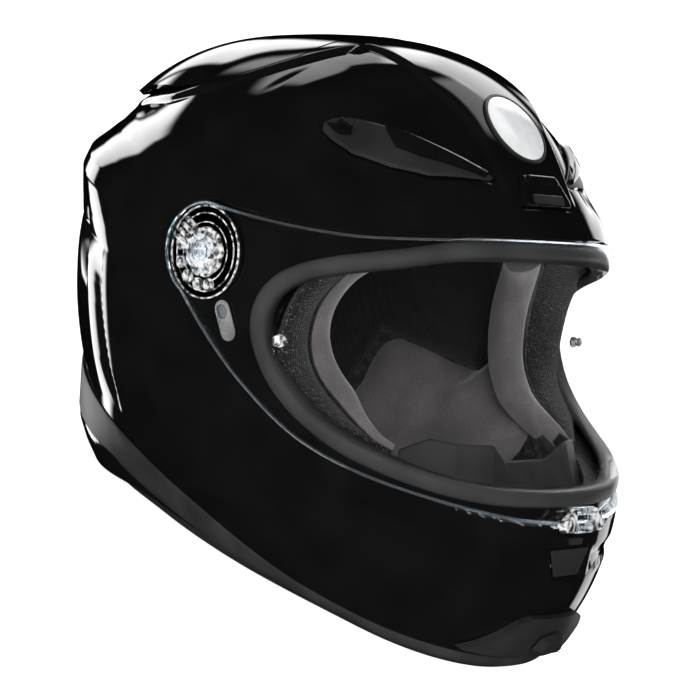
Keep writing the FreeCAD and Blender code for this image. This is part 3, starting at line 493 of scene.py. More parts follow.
def foam_material():
    g = Graph("foam")
    beads = g.add("TexVoronoi", {"Vector": g.place(), "Scale": 260.0})
    colour = g.blend(g.ramp(beads, 0.0, 0.7), rgba(0.05), rgba(0.015))
    inputs = {"Base Color": colour, "Roughness": 0.8, "Normal": g.bump(beads, 0.0005)}
    return g.close(g.add("BsdfPrincipled", inputs))


def painted_glint_plastic_material():
    """Thick clear moulding with ribs and facets inside it, shown by painted glints: bright and dark cells in the base
    colour stand for light caught in its facets, under a gloss face.
    """
    g = Graph("clear_plastic_painted_glints")
    # painted glints: noise cells switch the base colour between near black and pale grey in place of reflections in the
    # facets
    cells = g.ramp(g.noise(340.0, 3.0), 0.42, 0.58)
    inputs = {"Base Color": g.blend(cells, rgba(0.03), rgba(0.62)), "Roughness": 0.12,
              "Normal": g.bump(cells, 0.0003), "Coat Weight": 1.0}
    return g.close(g.add("BsdfPrincipled", inputs))


def clear_material(name, tint, shine, face=0.0, rim=0.0):
    """Clear moulded part seen as a thin sheet: straight through, with a painted edge highlight, a pale layer that shows
    more where it is seen edge on.
    """
    g = Graph(name)
    ripple = g.noise(60.0, 1.0)
    normal = g.bump(ripple, 0.0002, 0.15)
    through = g.add("BsdfTransparent", {"Color": rgba(tint)})
    edge = g.add("Fresnel", {"IOR": 1.5, "Normal": normal})
    share = g.add("Math", {0: edge, 1: shine}, operation="MULTIPLY", use_clamp=True)
    glare = g.add("BsdfGlossy", {"Color": g.blend(share, rgba(0.0), rgba(1.0)), "Roughness": 0.015,
                                 "Normal": normal})
    body = g.add("AddShader", {0: through, 1: glare})
    # painted edge highlight: a pale diffuse layer, mixed in by face and rim as the surface turns edge on, stands in for
    # light caught in clear edges
    if rim:
        painted_edge_glow = g.add("BsdfPrincipled", {"Base Color": rgba(0.72, 0.02), "Roughness": 0.2})
        facing = g.add("LayerWeight", {"Blend": 0.35}, out=1)
        body = g.mix(g.ramp(facing, 0.38, 0.95, face, rim), body, painted_edge_glow)
    return g.close(body)


GLOSS = moulded("shell_gloss", 0.0030, 0.0042, (0.015, 0.03), 2600.0, 0.0000015, Specular_IOR_Level=0.5)
SATIN = moulded("satin_plastic", 0.012, 0.018, (0.38, 0.5), 2500.0, 0.00002)
TRIM = moulded("trim_rubber", 0.018, 0.028, (0.36, 0.5), 3200.0, 0.00004)
GASKET = moulded("gasket_rubber", 0.022, 0.032, (0.42, 0.55), 3000.0, 0.00005)
DEFLECTOR = moulded("deflector_rubber", 0.018, 0.027, (0.5, 0.65), 2600.0, 0.00005)
STEEL = moulded("brushed_steel", 0.42, 0.6, (0.18, 0.34), 1500.0, 0.00003, Metallic=1.0)
SNAP = moulded("snap_plastic", 0.02, 0.035, (0.3, 0.45), 1800.0, 0.00003)
FROSTED = moulded("frosted_plastic", 0.09, 0.2, (0.2, 0.4), 700.0, 0.0002)
LINING = woven("lining_knit", 0.004, 0.02, 700.0, 0.0003, sheen=0.15)
MESH = woven("spacer_mesh", 0.003, 0.014, 620.0, 0.0005, sheen=0.1, specks=0.45)
SUEDE = suede_material()
WEBBING = webbing_material()
FOAM = foam_material()
VISOR = clear_material("visor_clear", 0.975, 0.8)
# the visor's edge strips carry a painted edge highlight
VISOR_EDGE = clear_material("visor_edge", (0.70, 0.78, 0.84), 2.0, face=0.03, rim=0.5)
INSERT = clear_material("insert_clear", 0.985, 0.25)
SMOKED = moulded("smoked_plate", 0.004, 0.010, (0.05, 0.12), 300.0, 0.00005)
# clear fittings with painted glints in their base colour
PAINTED_GLINT_PLASTIC = painted_glint_plastic_material()
# clear fittings carry a painted edge highlight where seen edge on
CLEAR = clear_material("clear_hardware", (0.80, 0.82, 0.84), 2.0, face=0.0, rim=0.8)

# ---------------------------------------------------------------- outlines, side view
FAR = 230.0
EAR_CENTRE = np.array([-0.464, 0.5])
EAR_RADIUS = 23.17
EAR_JOIN = -6.0
VISOR_TOP = smooth_line(((-6, 23), (25, 27), (48, 31), (69, 36), (93, 45), (106, 51), (FAR, 100)))
VISOR_FOOT = smooth_line(((-6, -22), (26, -41), (51, -53), (76, -62), (104, -66), (147, -67.5), (176, -70),
                          (FAR, -74)))
PORT_TOP = smooth_line(((39, -4), (52, 11), (87, 33), (107, 46), (FAR, 96)))
PORT_FOOT = smooth_line(((39, -20), (54, -39), (75, -51), (101, -57.5), (143, -60), (168, -57), (FAR, -50)))
SHELL_FOOT = np.array(((-FAR, -146), (-92, -147), (-40, -143), (40, -141.5), (90, -142.5), (140, -146.5),
                       (FAR, -146)))
TRIM_TOP = smooth_line(((-FAR, -98), (-84, -113), (-44, -118), (-11, -123), (16, -127), (46, -133), (75, -138),
                        (102, -140.5), (127, -142), (164, -141), (FAR, -133)))
TRIM_FOOT = smooth_line(((-FAR, -152), (-92, -152), (-60, -151), (-20, -149.5), (40, -149), (90, -149),
                         (138, -152), (FAR, -152)))


def height_on(line):
    return lambda forward: np.interp(forward, line[:, 0], line[:, 1])


def visor_edge(line, side):
    """Height of the visor's upper (side 1) or lower (side -1) edge, round the ear at the back."""
    def height(forward):
        room = np.clip(EAR_RADIUS ** 2 - (forward - EAR_CENTRE[0]) ** 2, 0.0, None)
        ear = EAR_CENTRE[1] + side * np.sqrt(room)
        return np.where(forward < EAR_JOIN, ear, np.interp(forward, line[:, 0], line[:, 1]))
    return height


def visor_outline(grow):
    turn = np.linspace(math.pi / 2, 3 * math.pi / 2, 40)
    ear = EAR_CENTRE + (EAR_RADIUS + grow) * np.stack([np.cos(turn), np.sin(turn)], 1)
    return np.concatenate([VISOR_TOP[::-1] + [0, grow], ear, VISOR_FOOT - [0, grow]])


# ---------------------------------------------------------------- outer shell
RECESS = 2.6
WALL = 3.0
CREASE = 0.7
CROWN_CREASE = smooth_line(((-170, 26), (-150, 28), (-128, 36), (-115, 43), (-84, 54), (-54, 68), (-40, 80), (-30, 90),
                            (-17, 104)))
SPOILER_AREA = np.array(((-46, 130), (-46, 98), (-96, 62), (-118, 38), (-170, 36), (-190, 130)), float)
BROW_PLACE = (36.0, 73.0)
BROW_AIM = (0.0, 1.0, -0.25)
SCOOP_BEARING = 38.5
CHIN_BEARING = -27.0
BADGE_BEARING = 57.0


def local_plane(points, local):
    """Coordinates of points in a local frame."""
    origin, axes = local
    return (points - origin) @ axes.T


def trapezoid(local, back, front, half_back, half_front):
    """Distance inside a trapezoid that runs from back to front along the frame's first axis."""
    u, v = local[:, 0], np.abs(local[:, 1])
    share = np.clip((u - back) / (front - back), 0.0, 1.0)
    return np.minimum(np.minimum(u - back, front - u), half_back + (half_front - half_back) * share - v)


BROW_OUTLINE = np.array([(-18, -5), (-17, 1), (-12, 8), (5.5, 22), (23, 34), (48, 52), (49, 47), (35, 19), (22, 5), (6, -6),
                         (-6, -9), (-14, -9)], float)
BROW_HOOD = np.array([(2, 17), (6, 20.5), (23, 32.5), (45, 48.5), (46.5, 45.5), (25, 22), (15, 14)], float)


REAR_STATIONS = ((-170, 5.0), (-152, 6.0), (-139, 7.0), (-131, 6.6), (-124, 3.6), (-116, -1.6), (-106, -3.4), (-60, -4.4),
                 (-28, -4.0), (-19, -1.2), (-11, 1.8), (-3, 5.0), (6, 5.2), (14, 1.8), (24, -1.2), (33, -1.0),
                 (43, -2.8), (56, -4.4), (70, -4.0), (84, -1.0), (96, 0.0))


def rear_relief(p):
    """Shoulder below the spoiler, drawn-in waist and flared nape."""
    stations = np.array(REAR_STATIONS)
    across = np.abs(p[:, 0])
    at_side = smoothstep(across, 20.0, 60.0)
    behind = smoothstep(p[:, 1], -55.0, -112.0) * at_side
    nape = smoothstep(p[:, 1], -20.0, -85.0)
    amount = np.interp(p[:, 2], stations[:, 0], stations[:, 1])
    return amount * np.where(p[:, 2] < -118.0, np.maximum(nape, behind), behind)


def shell_relief(p):
    """How far the shell stands proud of the plain form at each place."""
    side = p[:, 1:]
    x, forward, up = np.abs(p[:, 0]), p[:, 1], p[:, 2]
    relief = rear_relief(p)
    relief -= RECESS * smoothstep(inside(side, visor_outline(1.0)), -CREASE, CREASE)
    # band over the crown stands proud of the temples and runs back into the spoiler's shoulders
    bearing = np.degrees(np.arctan2(up, forward))
    half_band = np.interp(bearing, (33, 44, 57, 72, 100), (26.0, 27.0, 29.0, 38.8, 37.7))
    crease = np.interp(forward, CROWN_CREASE[:, 0], CROWN_CREASE[:, 1])
    outside_band = np.minimum(x - half_band, np.where(forward > -14.0, 99.0, crease - up))
    over = smoothstep(bearing, 34, 46) * smoothstep(bearing, 172, 160)
    ahead_of_crease = smoothstep(forward, -28.0, 4.0)
    fade = ahead_of_crease * smoothstep(x, 88.0, 60.0)
    fade += (1.0 - ahead_of_crease) * smoothstep(crease - up, 38.0, 4.0)
    relief -= 2.4 * over * fade * smoothstep(outside_band, -1.5, 1.5)
    relief -= 1.6 * smoothstep(forward, 5, 30) * smoothstep(up, 52, 64) * smoothstep(x, 36.0, 56.0)
    # pockets for the vent fittings
    for place in (-1, 1):
        local = local_plane(p, side_frame(*BROW_PLACE, BROW_AIM, place))
        near = np.linalg.norm(local, axis=1) < 78.0
        depth = inside(local[near][:, :2], BROW_OUTLINE)
        relief[near] -= 2.4 * smoothstep(depth, -CREASE, CREASE)
    for bearing_at, outline in ((SCOOP_BEARING, (-8.5, 8.5, 19.5, 14.7)), (CHIN_BEARING, (-8.5, 6.5, 10.5, 16.5))):
        local = local_plane(p, midplane_frame(bearing_at))
        depth = np.where(np.abs(local[:, 2]) < 25.0, trapezoid(local, *outline), -9.0)
        relief -= 2.4 * smoothstep(depth, -CREASE, CREASE)
    # channel that runs back from the chin opening
    channel = np.interp(forward, (104, 118, 150, 176), (0.0, 5.0, 5.5, 4.0))
    level = np.interp(forward, (104, 141, 166), (-82, -87, -89))
    gap = np.minimum(channel - np.abs(up - level), np.minimum(forward - 106.0, x - 20.0))
    relief -= 1.6 * smoothstep(gap, -1.2, 1.2)
    # two upright blades behind the jaw
    for line in BLADES:
        edge = np.interp(up, [q[1] for q in line[::-1]], [q[0] for q in line[::-1]])
        ahead = forward - edge
        height = smoothstep(up, line[-1][1], line[-1][1] + 24) * smoothstep(up, line[0][1] + 4, line[0][1] - 16)
        relief -= 2.4 * height * smoothstep(ahead, 0.7, -0.7) * smoothstep(ahead, -26.0, -1.0)
    return relief


BLADES = (((-112, -4), (-106, -29), (-96, -62)), ((-78, -30), (-73, -50), (-58, -86), (-46, -108)))
SHELL_GRID = 190
directions, quads = sphere_grid(SHELL_GRID)
base = spread(directions)
outer = base + form_normal(base) * shell_relief(base)[:, None]
foot_height = base[:, 2] - height_on(SHELL_FOOT)(base[:, 1])
port_polygon = np.concatenate([PORT_TOP[::-1], PORT_FOOT])
port_gap = -inside(base[:, 1:], port_polygon)
both = np.concatenate([outer, base], 1)
both, faces = clip(both, triangles(quads), foot_height)
gap_value = -inside(both[:, 4:], port_polygon)
both, faces = clip(both, faces, gap_value)
shell_points = both[:, :3]
sheet, sheet_faces = thicken(shell_points, faces, shell_points - form_normal(both[:, 3:]) * WALL)
add_mesh("shell", sheet, sheet_faces, [GLOSS], sharp=50.0, replaces=["outer_shell"], slot="shell_black")

# ---------------------------------------------------------------- energy liner
liner_gap = np.minimum(foot_height - 6.0, -inside(base[:, 1:], port_polygon) - 8.0)
liner_out = base - form_normal(base) * 12.0
both, faces = clip(np.concatenate([liner_out, base - form_normal(base) * 33.0], 1), triangles(quads), liner_gap)
sheet, sheet_faces = thicken(both[:, :3], faces, both[:, 3:])
add_mesh("impact_foam", sheet, sheet_faces, [FOAM], sharp=50.0, replaces=["impact_liner"], slot="foam")

# ---------------------------------------------------------------- edge trim
TRIM_SECTION = ((0.0, -1.5), (-0.03, 0.5), (0.0, 1.0), (0.06, 1.45), (0.46, 1.3), (0.56, 0.9), (0.66, 0.0),
                (0.92, -2.6), (0.98, -4.0), (1.0, -6.0), (0.98, -8.4), (0.85, -9.0), (0.35, -9.0), (0.3, -7.5))
RIM_CENTRE = 20.0
top_height, foot_level = height_on(TRIM_TOP), height_on(TRIM_FOOT)
rim_turn = np.linspace(0, 2 * math.pi, 361)[:-1]
rings = [level_place(rim_turn, lambda f, t=t: top_height(f) * (1 - t) + foot_level(f) * t, d, RIM_CENTRE)
         for t, d in TRIM_SECTION]
trim_points = np.stack(rings).reshape(-1, 3)
trim_points += form_normal(trim_points) * rear_relief(trim_points)[:, None] * [1.0, 1.0, 0.0]
add_mesh("edge_trim_rubber", trim_points, grid_faces(len(rings), 360, wrap_rows=True, wrap_columns=True), [TRIM],
         sharp=60.0, replaces=["edge_trim"], slot="trim_rubber")


# ---------------------------------------------------------------- eye opening gasket
def port_loop(grow, count, rounding, offset=0.0):
    """Closed path round the eye opening on the form, corners rounded."""
    half = []
    for line, sense in ((PORT_FOOT[::-1], -1.0), (PORT_TOP, 1.0)):
        fine = resample(line + [-0.5 * grow, sense * 0.85 * grow], 3000, closed=False)
        within = form_value(np.concatenate([np.zeros((3000, 1)), fine], 1), offset) < 0
        fine = fine[within]
        half.append(np.stack([half_breadth(fine[:, 0], fine[:, 1], offset), fine[:, 0], fine[:, 1]], 1))
    half = np.concatenate(half)
    loop = np.concatenate([half * [-1, 1, 1], half[::-1]])
    loop = soften(resample(loop, count), rounding)
    return settle(loop, offset)


GASKET_SECTION = ((5.2, -2.6), (5.0, -1.7), (4.4, -0.9), (3.0, -0.2), (1.0, 0.1), (-1.0, -0.1), (-2.6, -0.9),
                  (-3.4, -2.2), (-3.6, -4.0), (-3.4, -9.0), (-2.4, -10.0), (-0.4, -9.6), (0.0, -7.0), (0.2, -4.0))
loop = port_loop(0.0, 420, 5.0, -1.2)
across, out = surface_frame(loop)
middle = np.array([0.0, loop[:, 1].mean(), -8.0])
across *= np.sign((across * (loop - middle)).sum(1).mean())
points, faces = sweep(loop, across, out, GASKET_SECTION)
add_mesh("gasket", points, faces, [GASKET], sharp=70.0, replaces=["eyeport_gasket"], slot="gasket_rubber")

# ---------------------------------------------------------------- visor
VISOR_GRID = (161, 41)
VISOR_FACE = 2.9
VISOR_BACK = 0.5
VISOR_SWING = math.radians(100.9)


def visor_sheet(share, offset, columns=VISOR_GRID[0], inset=0.0):
    """Places on the visor at shares of the height between its lower and upper edges."""
    top, foot = visor_edge(VISOR_TOP, 1.0), visor_edge(VISOR_FOOT, -1.0)
    angle = VISOR_SWING * np.sin(np.linspace(-math.pi / 2, math.pi / 2, columns))
    share = np.asarray(share, float)[:, None]

    def level(forward):
        low, high = foot(forward) + inset, top(forward) - inset
        return low + (high - low) * share

    return level_place(np.broadcast_to(angle, (len(share), columns)), level, offset)


shares = (1.0 - np.cos(np.linspace(0, math.pi, VISOR_GRID[1]))) / 2.0
visor_points = visor_sheet(shares, VISOR_FACE - 0.9 * (1 - smoothstep(np.minimum(shares, 1 - shares), 0.0, 0.035))[:, None])
add_mesh("visor_shield", visor_points.reshape(-1, 3), grid_faces(VISOR_GRID[1], VISOR_GRID[0]), [VISOR], sharp=80.0,
         body="visor", replaces=["visor"], slot="visor_clear")
for name, share in (("visor_lower_edge", 0.0), ("visor_upper_edge", 1.0)):
    rows = [visor_sheet([share], d, inset=i)[0] for d, i in ((2.1, 0.0), (2.8, 0.9), (1.2, 1.1), (0.9, 0.0))]
    add_mesh(name, np.concatenate(rows), grid_faces(4, VISOR_GRID[0], wrap_rows=True), [VISOR_EDGE], sharp=50.0,
             body="visor", slot="visor_clear")

# ---------------------------------------------------------------- rear spoiler
def spoiler_rise(p):
    """Height of the spoiler's upper face above the form: flush in front, proud at its trailing edge."""
    return 0.3 + 2.7 * smoothstep(p[:, 1], -70.0, -122.0)


SPOILER_OUTLINE = np.array([(-30, 140), (-30, 93), (-40, 83), (-54, 71), (-84, 57), (-115, 46), (-128, 39), (-170, 31),
                            (-190, 140)], float)
edge_gap = inside(base[:, 1:], SPOILER_OUTLINE)
near = edge_gap[quads].max(1) > -6.0
used, local_quads = np.unique(quads[near], return_inverse=True)
local_quads = local_quads.reshape(-1, 4)
roof = base[used]
gap = edge_gap[used]
lifted = roof + form_normal(roof) * spoiler_rise(roof)[:, None]
both, faces = clip(np.concatenate([lifted, roof], 1), triangles(local_quads), gap)
under = both[:, 3:] + form_normal(both[:, 3:]) * -0.4
sheet, sheet_faces = thicken(both[:, :3], faces, under)
add_mesh("spoiler", sheet, sheet_faces, [GLOSS], sharp=38.0, replaces=["rear_spoiler"], slot="shell_black")


# ---------------------------------------------------------------- small solids
def block(name, local, outline, low, high, materials, bevel=0.6, segments=2, top_scale=1.0, **row):
    """Bevelled slab with a polygon outline in a local frame."""
    outline = np.asarray(outline, float)
    middle = outline.mean(0)
    count = len(outline)
    bottom = np.concatenate([outline, np.full((count, 1), low)], 1)
    top = np.concatenate([middle + (outline - middle) * top_scale, np.full((count, 1), high)], 1)
    wall = grid_faces(2, count, wrap_columns=True)
    faces = [list(range(count)), list(range(count, 2 * count)), *wall]
    obj = add_mesh(name, in_frame(local, np.concatenate([bottom, top])), faces, materials, sharp=35.0, **row)
    if bevel:
        modify(obj, "BEVEL", width=bevel / 1000.0, segments=segments, limit_method="ANGLE")
    return obj


def lathe(name, local, profile, materials, segments=64, wobble=None, sharp=35.0, **row):
    """Turned part: profile of (radius, height) about the frame's outward axis."""
    profile = np.asarray(profile, float)
    turn = np.linspace(0.0, 2 * math.pi, segments, endpoint=False)
    radius = np.repeat(profile[:, :1], segments, 1)
    if wobble:
        radius = radius * (1.0 + wobble(turn)[None] * (profile[:, :1] > 0.5 * profile[:, 0].max()))
    rings = np.stack([radius * np.cos(turn), radius * np.sin(turn), np.repeat(profile[:, 1:], segments, 1)], -1)
    faces = list(grid_faces(len(profile), segments, wrap_columns=True))
    faces += [list(range(segments)), list(range((len(profile) - 1) * segments, len(profile) * segments))]
    return add_mesh(name, in_frame(local, rings.reshape(-1, 3)), faces, materials, sharp=sharp, **row)


def join(objects, name):
    """One object from several, keeping the first one's place in the model."""
    bpy.context.view_layer.update()
    for obj in bpy.context.scene.objects:
        obj.select_set(obj in objects)
    bpy.context.view_layer.objects.active = objects[0]
    for obj in objects:
        bpy.context.view_layer.objects.active = obj
        for modifier in list(obj.modifiers):
            bpy.ops.object.modifier_apply(modifier=modifier.name)
    bpy.context.view_layer.objects.active = objects[0]
    bpy.ops.object.join()
    objects[0].name = name
    return objects[0]


def oval(a, b, count=40, middle=(0.0, 0.0)):
    turn = np.linspace(0, 2 * math.pi, count, endpoint=False)
    return np.stack([middle[0] + a * np.cos(turn), middle[1] + b * np.sin(turn)], 1)


def pill(length, width, count=10):
    r = width / 2.0
    turn = np.linspace(-math.pi / 2, math.pi / 2, count)
    front = np.stack([length / 2 - r + r * np.cos(turn), r * np.sin(turn)], 1)
    return np.concatenate([front, -front])


# ---------------------------------------------------------------- visor mechanism
def ear_frame(side):
    """Frame on the pivot axis at the form's widest place, outward axis first to the side."""
    return np.array([side * HALF_WIDTH, 0.0, 0.0]), np.array([[0.0, 0.95, -0.31], [0.0, 0.31 * side, 0.95 * side],
                                                              [side, 0.0, 0.0]])


PLATE_PROFILE = ((22.3, -2.4), (22.4, -1.4), (21.6, -1.2), (20.4, -1.6), (18.0, -1.9), (12.4, -1.9), (6.0, -1.8), (0.5, -1.8))
HUB_PROFILE = ((11.9, -1.9), (11.9, -0.5), (11.2, 0.0), (10.2, 0.0), (9.9, -0.7), (8.2, -0.7), (7.9, 0.6), (6.0, 0.8), (5.2, 2.6),
               (4.6, 2.9), (2.6, 2.9), (2.4, 1.0), (0.5, 1.0))
RINGS = (((22.3, -1.3), (22.3, -0.8), (21.6, -0.6), (21.5, -1.3)), ((19.0, -1.7), (18.9, -1.2), (18.3, -1.1), (18.2, -1.7)),
         ((14.6, -1.8), (14.5, -1.3), (14.0, -1.2), (13.9, -1.8)))
for side, hand in ((-1, "right"), (1, "left")):
    local = ear_frame(side)
    lathe("mechanism_" + hand, local, PLATE_PROFILE, [SMOKED], 96, replaces=["visor_base_plate_" + hand], body="helmet",
          slot="clear_hardware")
    lathe("mechanism_hub_" + hand, local, HUB_PROFILE, [PAINTED_GLINT_PLASTIC], 72, wobble=lambda t: 0.02 * np.cos(9 * t), body="helmet",
          slot="clear_hardware")
    for k, ring in enumerate(RINGS):
        lathe("mechanism_ring_%s_%d" % (hand, k), local, ring, [PAINTED_GLINT_PLASTIC], 96, body="helmet", slot="clear_hardware")
    for k in range(4):
        rib = np.array([(-10.5, -1.0), (8.5, -1.0), (8.5, 1.0), (-10.5, 1.0)]) + [-9.0, -5.4 + 3.6 * k]
        block("mechanism_rib_%s_%d" % (hand, k), local, rib, -1.8, 0.3, [PAINTED_GLINT_PLASTIC], 0.4, body="helmet", slot="clear_hardware")
    for k, turn in enumerate((40, 66, 94, 124, 156)):
        knob = np.array([15.8 * math.cos(math.radians(turn)), -side * 15.8 * math.sin(math.radians(turn))])
        shifted = (in_frame(local, [knob])[0], local[1])
        lathe("mechanism_knob_%s_%d" % (hand, k), shifted, ((3.3, -1.9), (3.1, -0.4), (2.2, -0.1), (1.9, -0.8), (0.9, -0.8),
              (0.3, -0.3)), [PAINTED_GLINT_PLASTIC], 24, body="helmet", slot="clear_hardware")
    cap = ((7.4, 3.5), (7.5, 4.3), (6.9, 4.9), (4.6, 5.1), (4.2, 4.4), (2.2, 4.4), (2.0, 5.0), (0.4, 5.1))
    lathe("pivot_cap_" + hand, local, cap, [CLEAR], 60, wobble=lambda t: 0.03 * np.cos(12 * t),
          replaces=["visor_pivot_cap_" + hand], body="helmet", slot="clear_hardware")
    lever_local = side_frame(23.5, -25.5, (0.0, 0.62, -0.78), side)
    rider = "release_lever_" + hand
    block(rider + "_body", lever_local, pill(20.0, 8.8), -2.05, -0.9, [FROSTED], 0.4, body=rider,
          replaces=[rider], slot="frosted_plastic")
    block(rider + "_grip", lever_local, pill(8.0, 6.4) + [-4.5, 0], -0.9, -0.25, [CLEAR], 0.3, body=rider,
          slot="clear_hardware")

# ---------------------------------------------------------------- pins, tab and latch
for side, hand in ((-1, "right"), (1, "left")):
    here, axes = side_frame(56.0, -22.0, (0.0, 1.0, 0.0), side)
    lathe("insert_pin_" + hand, (here, axes), ((3.0, -1.1), (3.0, 0.0), (1.45, 0.1), (1.45, 2.9), (2.6, 3.0), (2.5, 3.35),
          (1.4, 3.4), (1.1, 3.0), (0.4, 3.0)), [PAINTED_GLINT_PLASTIC], 32, body="visor", slot="clear_hardware",
          replaces=["insert_pins"] if side < 0 else ())

TAB_BEARING = -22.0
tab_local = midplane_frame(TAB_BEARING, VISOR_FACE)
tab_parts = [block("tab", tab_local, ((-6.5, -15), (-2, -18.5), (3, -11), (6, -9.5), (6, -6.2), (-6.5, -6.2)), -0.6, 3.4,
                   [PAINTED_GLINT_PLASTIC], 0.7, 3, 0.86, body="visor", replaces=["visor_tab"], slot="clear_hardware"),
             block("tab_left", tab_local, ((-6.5, 15), (-2, 18.5), (3, 11), (6, 9.5), (6, 6.2), (-6.5, 6.2)), -0.6, 3.4,
                   [PAINTED_GLINT_PLASTIC], 0.7, 3, 0.86, body="visor", slot="clear_hardware"),
             block("tab_bridge_low", tab_local, ((-6.5, -6.5), (-4.4, -6.5), (-4.4, 6.5), (-6.5, 6.5)), -0.4, 2.8,
                   [CLEAR], 0.5, body="visor", slot="clear_hardware"),
             block("tab_bridge_high", tab_local, ((2.2, -6.5), (6, -6.5), (6, 6.5), (2.2, 6.5)), -0.4, 3.2,
                   [CLEAR], 0.6, body="visor", slot="clear_hardware")]
block("latch_bar", tab_local, ((-3.9, -5.3), (-0.2, -5.3), (-0.2, 5.3), (-3.9, 5.3)), 0.3, 4.2, [CLEAR], 0.6, 3, 0.8,
      body="visor_latch", replaces=["visor_latch"], slot="clear_hardware")

# ---------------------------------------------------------------- vents and badge
def form_plate(name, outline, local, low, high, materials, shrink=0.0, **row):
    """Thin plate that follows the form inside an outline drawn in a local plane."""
    flat = local_plane(base, local)
    gap = np.where(np.linalg.norm(flat, axis=1) < 80.0, inside(flat[:, :2], outline) - shrink, -50.0)
    near = gap[quads].max(1) > -6.0
    used, local_quads = np.unique(quads[near], return_inverse=True)
    p, gap = base[used], gap[used]
    normal = form_normal(p)
    rim = smoothstep(gap, 0.0, 1.4) if high > low + 0.7 else 1.0
    top = p + normal * (high - 0.6 + 0.6 * rim if high > low + 0.7 else high + 0.0 * gap)[:, None]
    both, faces = clip(np.concatenate([top, p + normal * low], 1), triangles(local_quads.reshape(-1, 4)), gap)
    sheet, sheet_faces = thicken(both[:, :3], faces, both[:, 3:])
    return add_mesh(name, sheet, sheet_faces, materials, sharp=40.0, **row)


for side, hand in ((-1, "right"), (1, "left")):
    local = side_frame(*BROW_PLACE, BROW_AIM, side)
    rider = "brow_slider_" + hand
    form_plate("brow_cover_" + hand, BROW_OUTLINE, local, -2.9, -1.9, [SATIN], 0.9, body="helmet",
               replaces=["brow_vent_cover_" + hand], slot="shell_black")
    form_plate("brow_hood_" + hand, BROW_HOOD, local, -2.2, 0.5, [GLOSS], 0.3, body="helmet", slot="shell_black")
    block(rider + "_body", local, ((-15.0, -5.0), (-6.0, -4.0), (-2.0, 0.4), (-5.5, 4.6), (-13.0, 3.0), (-11.5, -1.0)),
          -1.7, -0.2, [GLOSS], 0.5, 2, 0.85, body=rider, replaces=["brow_vent_slider_" + hand], slot="shell_black")
    for k in range(3):
        block("%s_rib_%d" % (rider, k), local, np.array(((-0.5, -2.2), (0.5, -2.2), (0.5, 2.2), (-0.5, 2.2))) +
              [-9.6 + 1.8 * k, -0.2], -0.4, 0.3, [GLOSS], 0.25, body=rider, slot="shell_black")

scoop_local = midplane_frame(SCOOP_BEARING)
block("scoop_hood", scoop_local, ((-8.4, -19), (-5, -19.5), (8.4, -14.4), (8.4, 14.4), (-5, 19.5), (-8.4, 19)), -2.1, 1.3,
      [GLOSS], 0.9, 3, 0.93, body="helmet", replaces=["centre_vent_scoop"], slot="shell_black")
block("scoop_brow", scoop_local, ((2.9, -14.2), (8, -12), (8, 12), (2.9, 14.2)), 0.5, 2.7, [GLOSS], 0.9, 3, 0.85, body="helmet",
      slot="shell_black")
block("scoop_slider", scoop_local, ((-7.6, -12.5), (-2.4, -12.5), (-2.4, 12.5), (-7.6, 12.5)), 0.3, 2.1, [SATIN], 0.5, 2,
      0.93, body="centre_slider", replaces=["centre_vent_slider"], slot="vent_satin")


def enamel_material():
    """Plain plate: pale enamel inside a thin dark line."""
    g = Graph("badge_enamel")
    mottle = g.noise(220.0)
    colour = g.blend(mottle, rgba(0.62), rgba(0.78))
    inputs = {"Base Color": colour, "Roughness": g.ramp(mottle, 0.3, 0.7, 0.08, 0.2), "Coat Weight": 0.6,
              "Normal": g.bump(mottle, 0.00002)}
    return g.close(g.add("BsdfPrincipled", inputs))


ENAMEL = enamel_material()
badge_local = midplane_frame(BADGE_BEARING)


def surface_disc(local, a, b, rings, height, count=72):
    """Domed oval laid on the form: rings of (share of the radius, height)."""
    shares = np.array(rings)
    turn = np.linspace(0, 2 * math.pi, count, endpoint=False)
    flat = np.stack([np.outer(shares[:, 0], a * np.cos(turn)), np.outer(shares[:, 0], b * np.sin(turn))], -1)
    p = settle(in_frame(local, flat.reshape(-1, 2)), 0.0)
    p = p + form_normal(p) * (np.repeat(shares[:, 1], count) * height)[:, None]
    return p, [*grid_faces(len(shares), count, wrap_columns=True), list(range((len(shares) - 1) * count, len(shares) * count))]


for name, a, b, rings, material in (
        ("badge_rim", 20.8, 20.2, ((1.0, 0.0), (1.0, 0.9), (0.985, 1.3), (0.93, 1.3), (0.925, 1.0)), SATIN),
        ("badge_plate", 19.0, 18.4, ((1.0, 0.8), (0.99, 1.05), (0.9, 1.2), (0.6, 1.35), (0.3, 1.4), (0.05, 1.4)), ENAMEL)):
    p, f = surface_disc(badge_local, a, b, rings, 1.0)
    add_mesh(name, p, f, [material], sharp=35.0, body="helmet", slot="badge_enamel",
             replaces=["front_badge"] if name == "badge_plate" else ())

